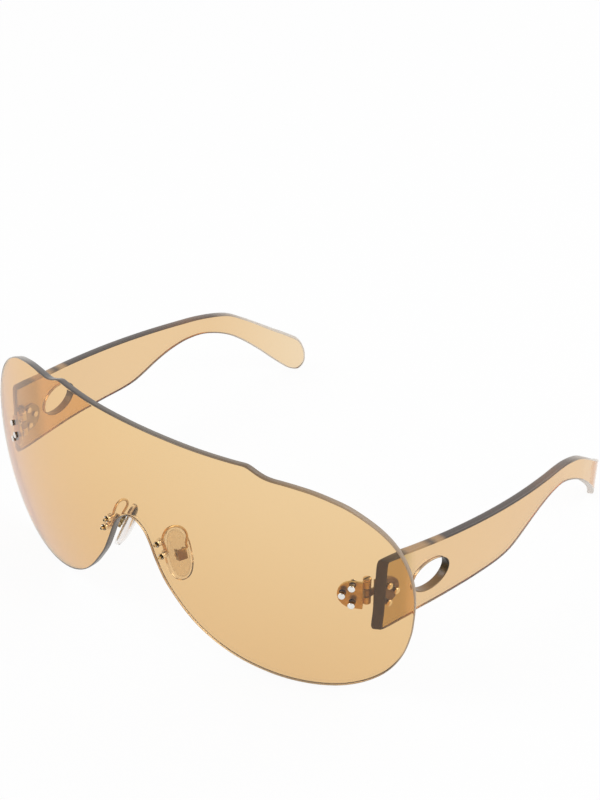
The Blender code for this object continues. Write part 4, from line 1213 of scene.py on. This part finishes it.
def make_box():
    near = -PIVOT_DEPTH + TAB_DEPTH / 2
    inner = TAB_WIDTH / 2 + FIT
    half = BOX_LENGTH / 2
    profile = [
        (-BOX_HALF, near), (-BOX_HALF, -BOX_BACK), (BOX_HALF, -BOX_BACK), (BOX_HALF, near),
        (inner, near), (inner, -BOX_BACK + BOX_WALL), (-inner, -BOX_BACK + BOX_WALL), (-inner, near),
    ]
    channel = stacked([[PAD @ Vector((x, y, z)) for x, y in profile] for z in (-half, half)])
    crease = math.radians(50)
    eased = changed(channel, "BEVEL", width=BOX_EASE, segments=2, limit_method="ANGLE", angle_limit=crease)
    reach = BOX_HALF + OVERRUN
    radius = PAD_SCREW_RADIUS + CLOSE_FIT
    return cut(eased, [turned(PAD_CROSS, [(radius, -reach), (radius, reach)])])


def make_pad_screw():
    head = -BOX_HALF - CLOSE_FIT
    tall, wide = PAD_HEAD_HEIGHT, PAD_HEAD_RADIUS
    profile = [
        (0, head - tall), (wide * 0.55, head - tall), (wide * 0.8, head - tall * 0.85),
        (wide, head - tall * 0.5), (wide, head), (PAD_SCREW_RADIUS, head),
        (PAD_SCREW_RADIUS, BOX_HALF), (0, BOX_HALF),
    ]
    near = (-OVERRUN, -PAD_SLOT_HALF, head - tall - OVERRUN)
    far = (OVERRUN, PAD_SLOT_HALF, head - tall + PAD_SLOT_DEPTH)
    return cut(turned(PAD_CROSS, profile), [block(PAD_CROSS, near, far)])


# Painted shade: the boxes take the shaded plate metal and the screws' slots are painted dark.
place_pairs(
    ("folded_box_{}", make_box(), plate_shaded, "wire_gold", "front", ["pad_box_{}"]),
    ("cross_screw_{}", make_pad_screw(), barrel_metal, "wire_gold", "front", ["pad_screw_{}"]),
)

# %% [markdown]
# ## Bent wire
# Each pad hangs on a wire that leaves the upper prong, rises, loops back and comes down to the
# box. A wire is a circle carried along a path, which is one node: Curve to Mesh. The path is the
# same smooth curve as before, and the tree resamples it and gives it its gauge.


# %% Build the wire tree
def wire_tree():
    tree, given = geometry_tree("wire along a path", "Path", ("Gauge", "Step"), "Wire")
    line = node(tree, "GeometryNodeMeshToCurve", {"Mesh": given["Path"]}).outputs[0]
    even = node(tree, "GeometryNodeResampleCurve", {"Curve": line, "Length": given["Step"]}, mode="LENGTH")
    half = maths(tree, "MULTIPLY", given["Gauge"], 0.5)
    ring = node(tree, "GeometryNodeCurvePrimitiveCircle", {"Resolution": 20, "Radius": half}, mode="RADIUS")
    inputs = {"Curve": even.outputs[0], "Profile Curve": ring.outputs[0], "Fill Caps": True}
    return ended(tree, node(tree, "GeometryNodeCurveToMesh", inputs).outputs[0], given)


WIRE = wire_tree()

# %% Make the arms
WIRE_RADIUS = 0.33 * MM
PATH_STEP = 0.3 * MM
PRONG_PROUD = 0.9 * MM
CUP_RADIUS = 0.33 * MM
CUP_DEPTH = 0.5 * MM
PRONG_EASE = 0.05 * MM
BUSH_FLANGE = 0.3 * MM
BAR_DEPTH = LENS_THICK + 2 * FIT + BUSH_FLANGE + PRONG_RADIUS
LOOP_REACH = 6.9 * MM
LOOP = (
    (0.0, 0.0, 0.0), (0.0, 0.09, 0.22), (0.03, 0.28, 0.38), (0.11, 0.6, 0.34), (0.19, 0.9, 0.1),
    (0.275, 0.99, -0.2), (0.37, 0.84, -0.5),
)


def wire(path, gauge):
    mesh = bpy.data.meshes.new("path")
    mesh.from_pydata(path, [(i, i + 1) for i in range(len(path) - 1)], [])
    return baked(WIRE, mesh, {"Gauge": gauge, "Step": 0.25 * MM, "Finish": wire_gold})


def prong_frame(out, height):
    """Z runs back through the lens from its front face."""
    return axis_frame(lens_point(out, height), lens_normal(out, height))


def make_prong(spot):
    """A prong with a cup in its front end, whose faces are marked so that they can be painted dark as shade.
    """
    near, rear = -PRONG_PROUD, BAR_DEPTH + PRONG_RADIUS
    eased = PRONG_RADIUS - PRONG_EASE
    profile = [
        (0, CUP_DEPTH + near), (CUP_RADIUS, CUP_DEPTH + near), (CUP_RADIUS, near), (eased, near),
        (PRONG_RADIUS, PRONG_EASE + near), (PRONG_RADIUS, rear - PRONG_EASE), (eased, rear), (0, rear),
    ]
    prong = turned(prong_frame(*spot), profile, 28)
    axis = prong_frame(*spot).inverted()
    for face in prong.polygons:
        corners = [axis @ prong.vertices[v].co for v in face.vertices]
        if all(p.z < LENS_THICK and p.xy.length < 1.01 * CUP_RADIUS for p in corners):
            face.material_index = INNER_WALL
    return prong


def make_arm():
    base = lens_point(*PRONGS[0], BAR_DEPTH)
    loop = [base + Vector(share) * LOOP_REACH for share in LOOP]
    lift = BOX_LENGTH / 3
    arrive = PAD @ Vector((BOX_HALF + 3 * WIRE_RADIUS, -PIVOT_DEPTH, lift + WIRE_RADIUS))
    end = PAD @ Vector((BOX_HALF + FIT, -PIVOT_DEPTH, lift))
    bent = wire(smooth_curve([*loop, arrive, end], PATH_STEP, closed=False), 2 * WIRE_RADIUS)
    bar = wire([lens_point(*spot, BAR_DEPTH) for spot in PRONGS], 2 * PRONG_RADIUS)
    return joined([bent, bar, *(make_prong(spot) for spot in PRONGS)])


def make_bushes():
    """Clear sleeves round both prongs, each with a flange behind the lens."""
    inner, back = PRONG_RADIUS + CLOSE_FIT, LENS_THICK + FIT
    wide = BUSH_RADIUS + BUSH_FLANGE
    profile = [(inner, -FIT), (BUSH_RADIUS, -FIT), (BUSH_RADIUS, back)]
    profile += [(wide, back), (wide, back + BUSH_FLANGE), (inner, back + BUSH_FLANGE)]
    return joined([sleeve(prong_frame(*spot), profile, 28) for spot in PRONGS])


# Painted shade: only the left arm's cups are painted dark, and the right arm's stay gold.
arm_finish = {"right": wire_gold, "left": wire_shaded_cups}
place_pairs(
    ("wire_arm_{}", make_arm(), arm_finish, "wire_gold", "front", ["pad_arm_{}"]),
    (
        "clear_bushes_{}", make_bushes(), clear_plastic, "clear_bush", "front",
        ["pad_bush_upper_{}", "pad_bush_lower_{}"],
    ),
)

# %% [markdown]
# ## Floor, backdrop and light
# The glasses stand on white in soft light. The floor and the world show plain white to the
# camera, to reflections and to what is seen through the plastic, while the floor still takes a
# soft shadow. High overhead the studio is dimmer, and the polished edges find that darkness.

# %% The floor
FLOOR_GREY = (0.92, 0.92, 0.92)
FLOOR_GLOW = 0.93
FLOOR_HALF = 2.0
FLOOR_LEVEL = -0.05 * MM


def seen_directly(tree):
    """1 for camera, glossy and transmission rays."""
    path = node(tree, "ShaderNodeLightPath").outputs
    mirrored_or_seen = maths(tree, "MAXIMUM", path["Is Camera Ray"], path["Is Glossy Ray"])
    return maths(tree, "MAXIMUM", mirrored_or_seen, path["Is Transmission Ray"])


def floor_material():
    made = bpy.data.materials.new("white floor")
    made.use_nodes = True
    tree = made.node_tree
    tree.nodes.clear()
    share = maths(tree, "MULTIPLY", seen_directly(tree), FLOOR_GLOW)
    matt = node(tree, "ShaderNodeBsdfDiffuse", {"Color": FLOOR_GREY}).outputs[0]
    glow = node(tree, "ShaderNodeEmission").outputs[0]
    mix = node(tree, "ShaderNodeMixShader", {0: share, 1: matt, 2: glow}).outputs[0]
    node(tree, "ShaderNodeOutputMaterial", {"Surface": mix})
    return made


floor_mesh = bpy.data.meshes.new("floor")
corners = [(x * FLOOR_HALF, y * FLOOR_HALF, FLOOR_LEVEL) for x, y in ((-1, -1), (1, -1), (1, 1), (-1, 1))]
floor_mesh.from_pydata(corners, [], [(0, 1, 2, 3)])
floor_mesh.materials.append(floor_material())
shown("floor", floor_mesh)
print("floor", 2 * FLOOR_HALF, "m wide")

# %% The world and the lamps
ZENITH = (0.42, 0.42, 0.43)
AIM = Vector((0, 0, 0.03))
SOFTBOXES = (
    ("key", (-0.45, -0.5, 0.75), 0.5, 2.4),
    ("fill", (0.7, 0.2, 0.6), 0.5, 2.2),
    ("rim", (0.1, 0.8, 0.6), 0.6, 1.5),
)


def studio_world():
    made = bpy.data.worlds.new("studio")
    made.use_nodes = True
    tree = made.node_tree
    where = node(tree, "ShaderNodeTexCoord").outputs["Generated"]
    height = node(tree, "ShaderNodeSeparateXYZ", {0: where}).outputs["Z"]
    sky = two_tone(tree, ranged(tree, height, 0.35, 0.8, 0.0, 1.0), WHITE, ZENITH)
    seen = node(tree, "ShaderNodeLightPath").outputs["Is Camera Ray"]
    feed(tree, tree.nodes["Background"], {"Color": two_tone(tree, seen, sky, WHITE)})
    return made


bpy.context.scene.world = studio_world()
for name, spot, size, watts in SOFTBOXES:
    light = bpy.data.lights.new(name, "AREA")
    light.size = size
    light.energy = watts
    lamp = shown(name, light)
    lamp.location = spot
    lamp.rotation_euler = (AIM - Vector(spot)).to_track_quat("-Z", "Y").to_euler()
bpy.context.scene.view_settings.view_transform = "Standard"
print(len(SOFTBOXES), "softboxes and a white world")
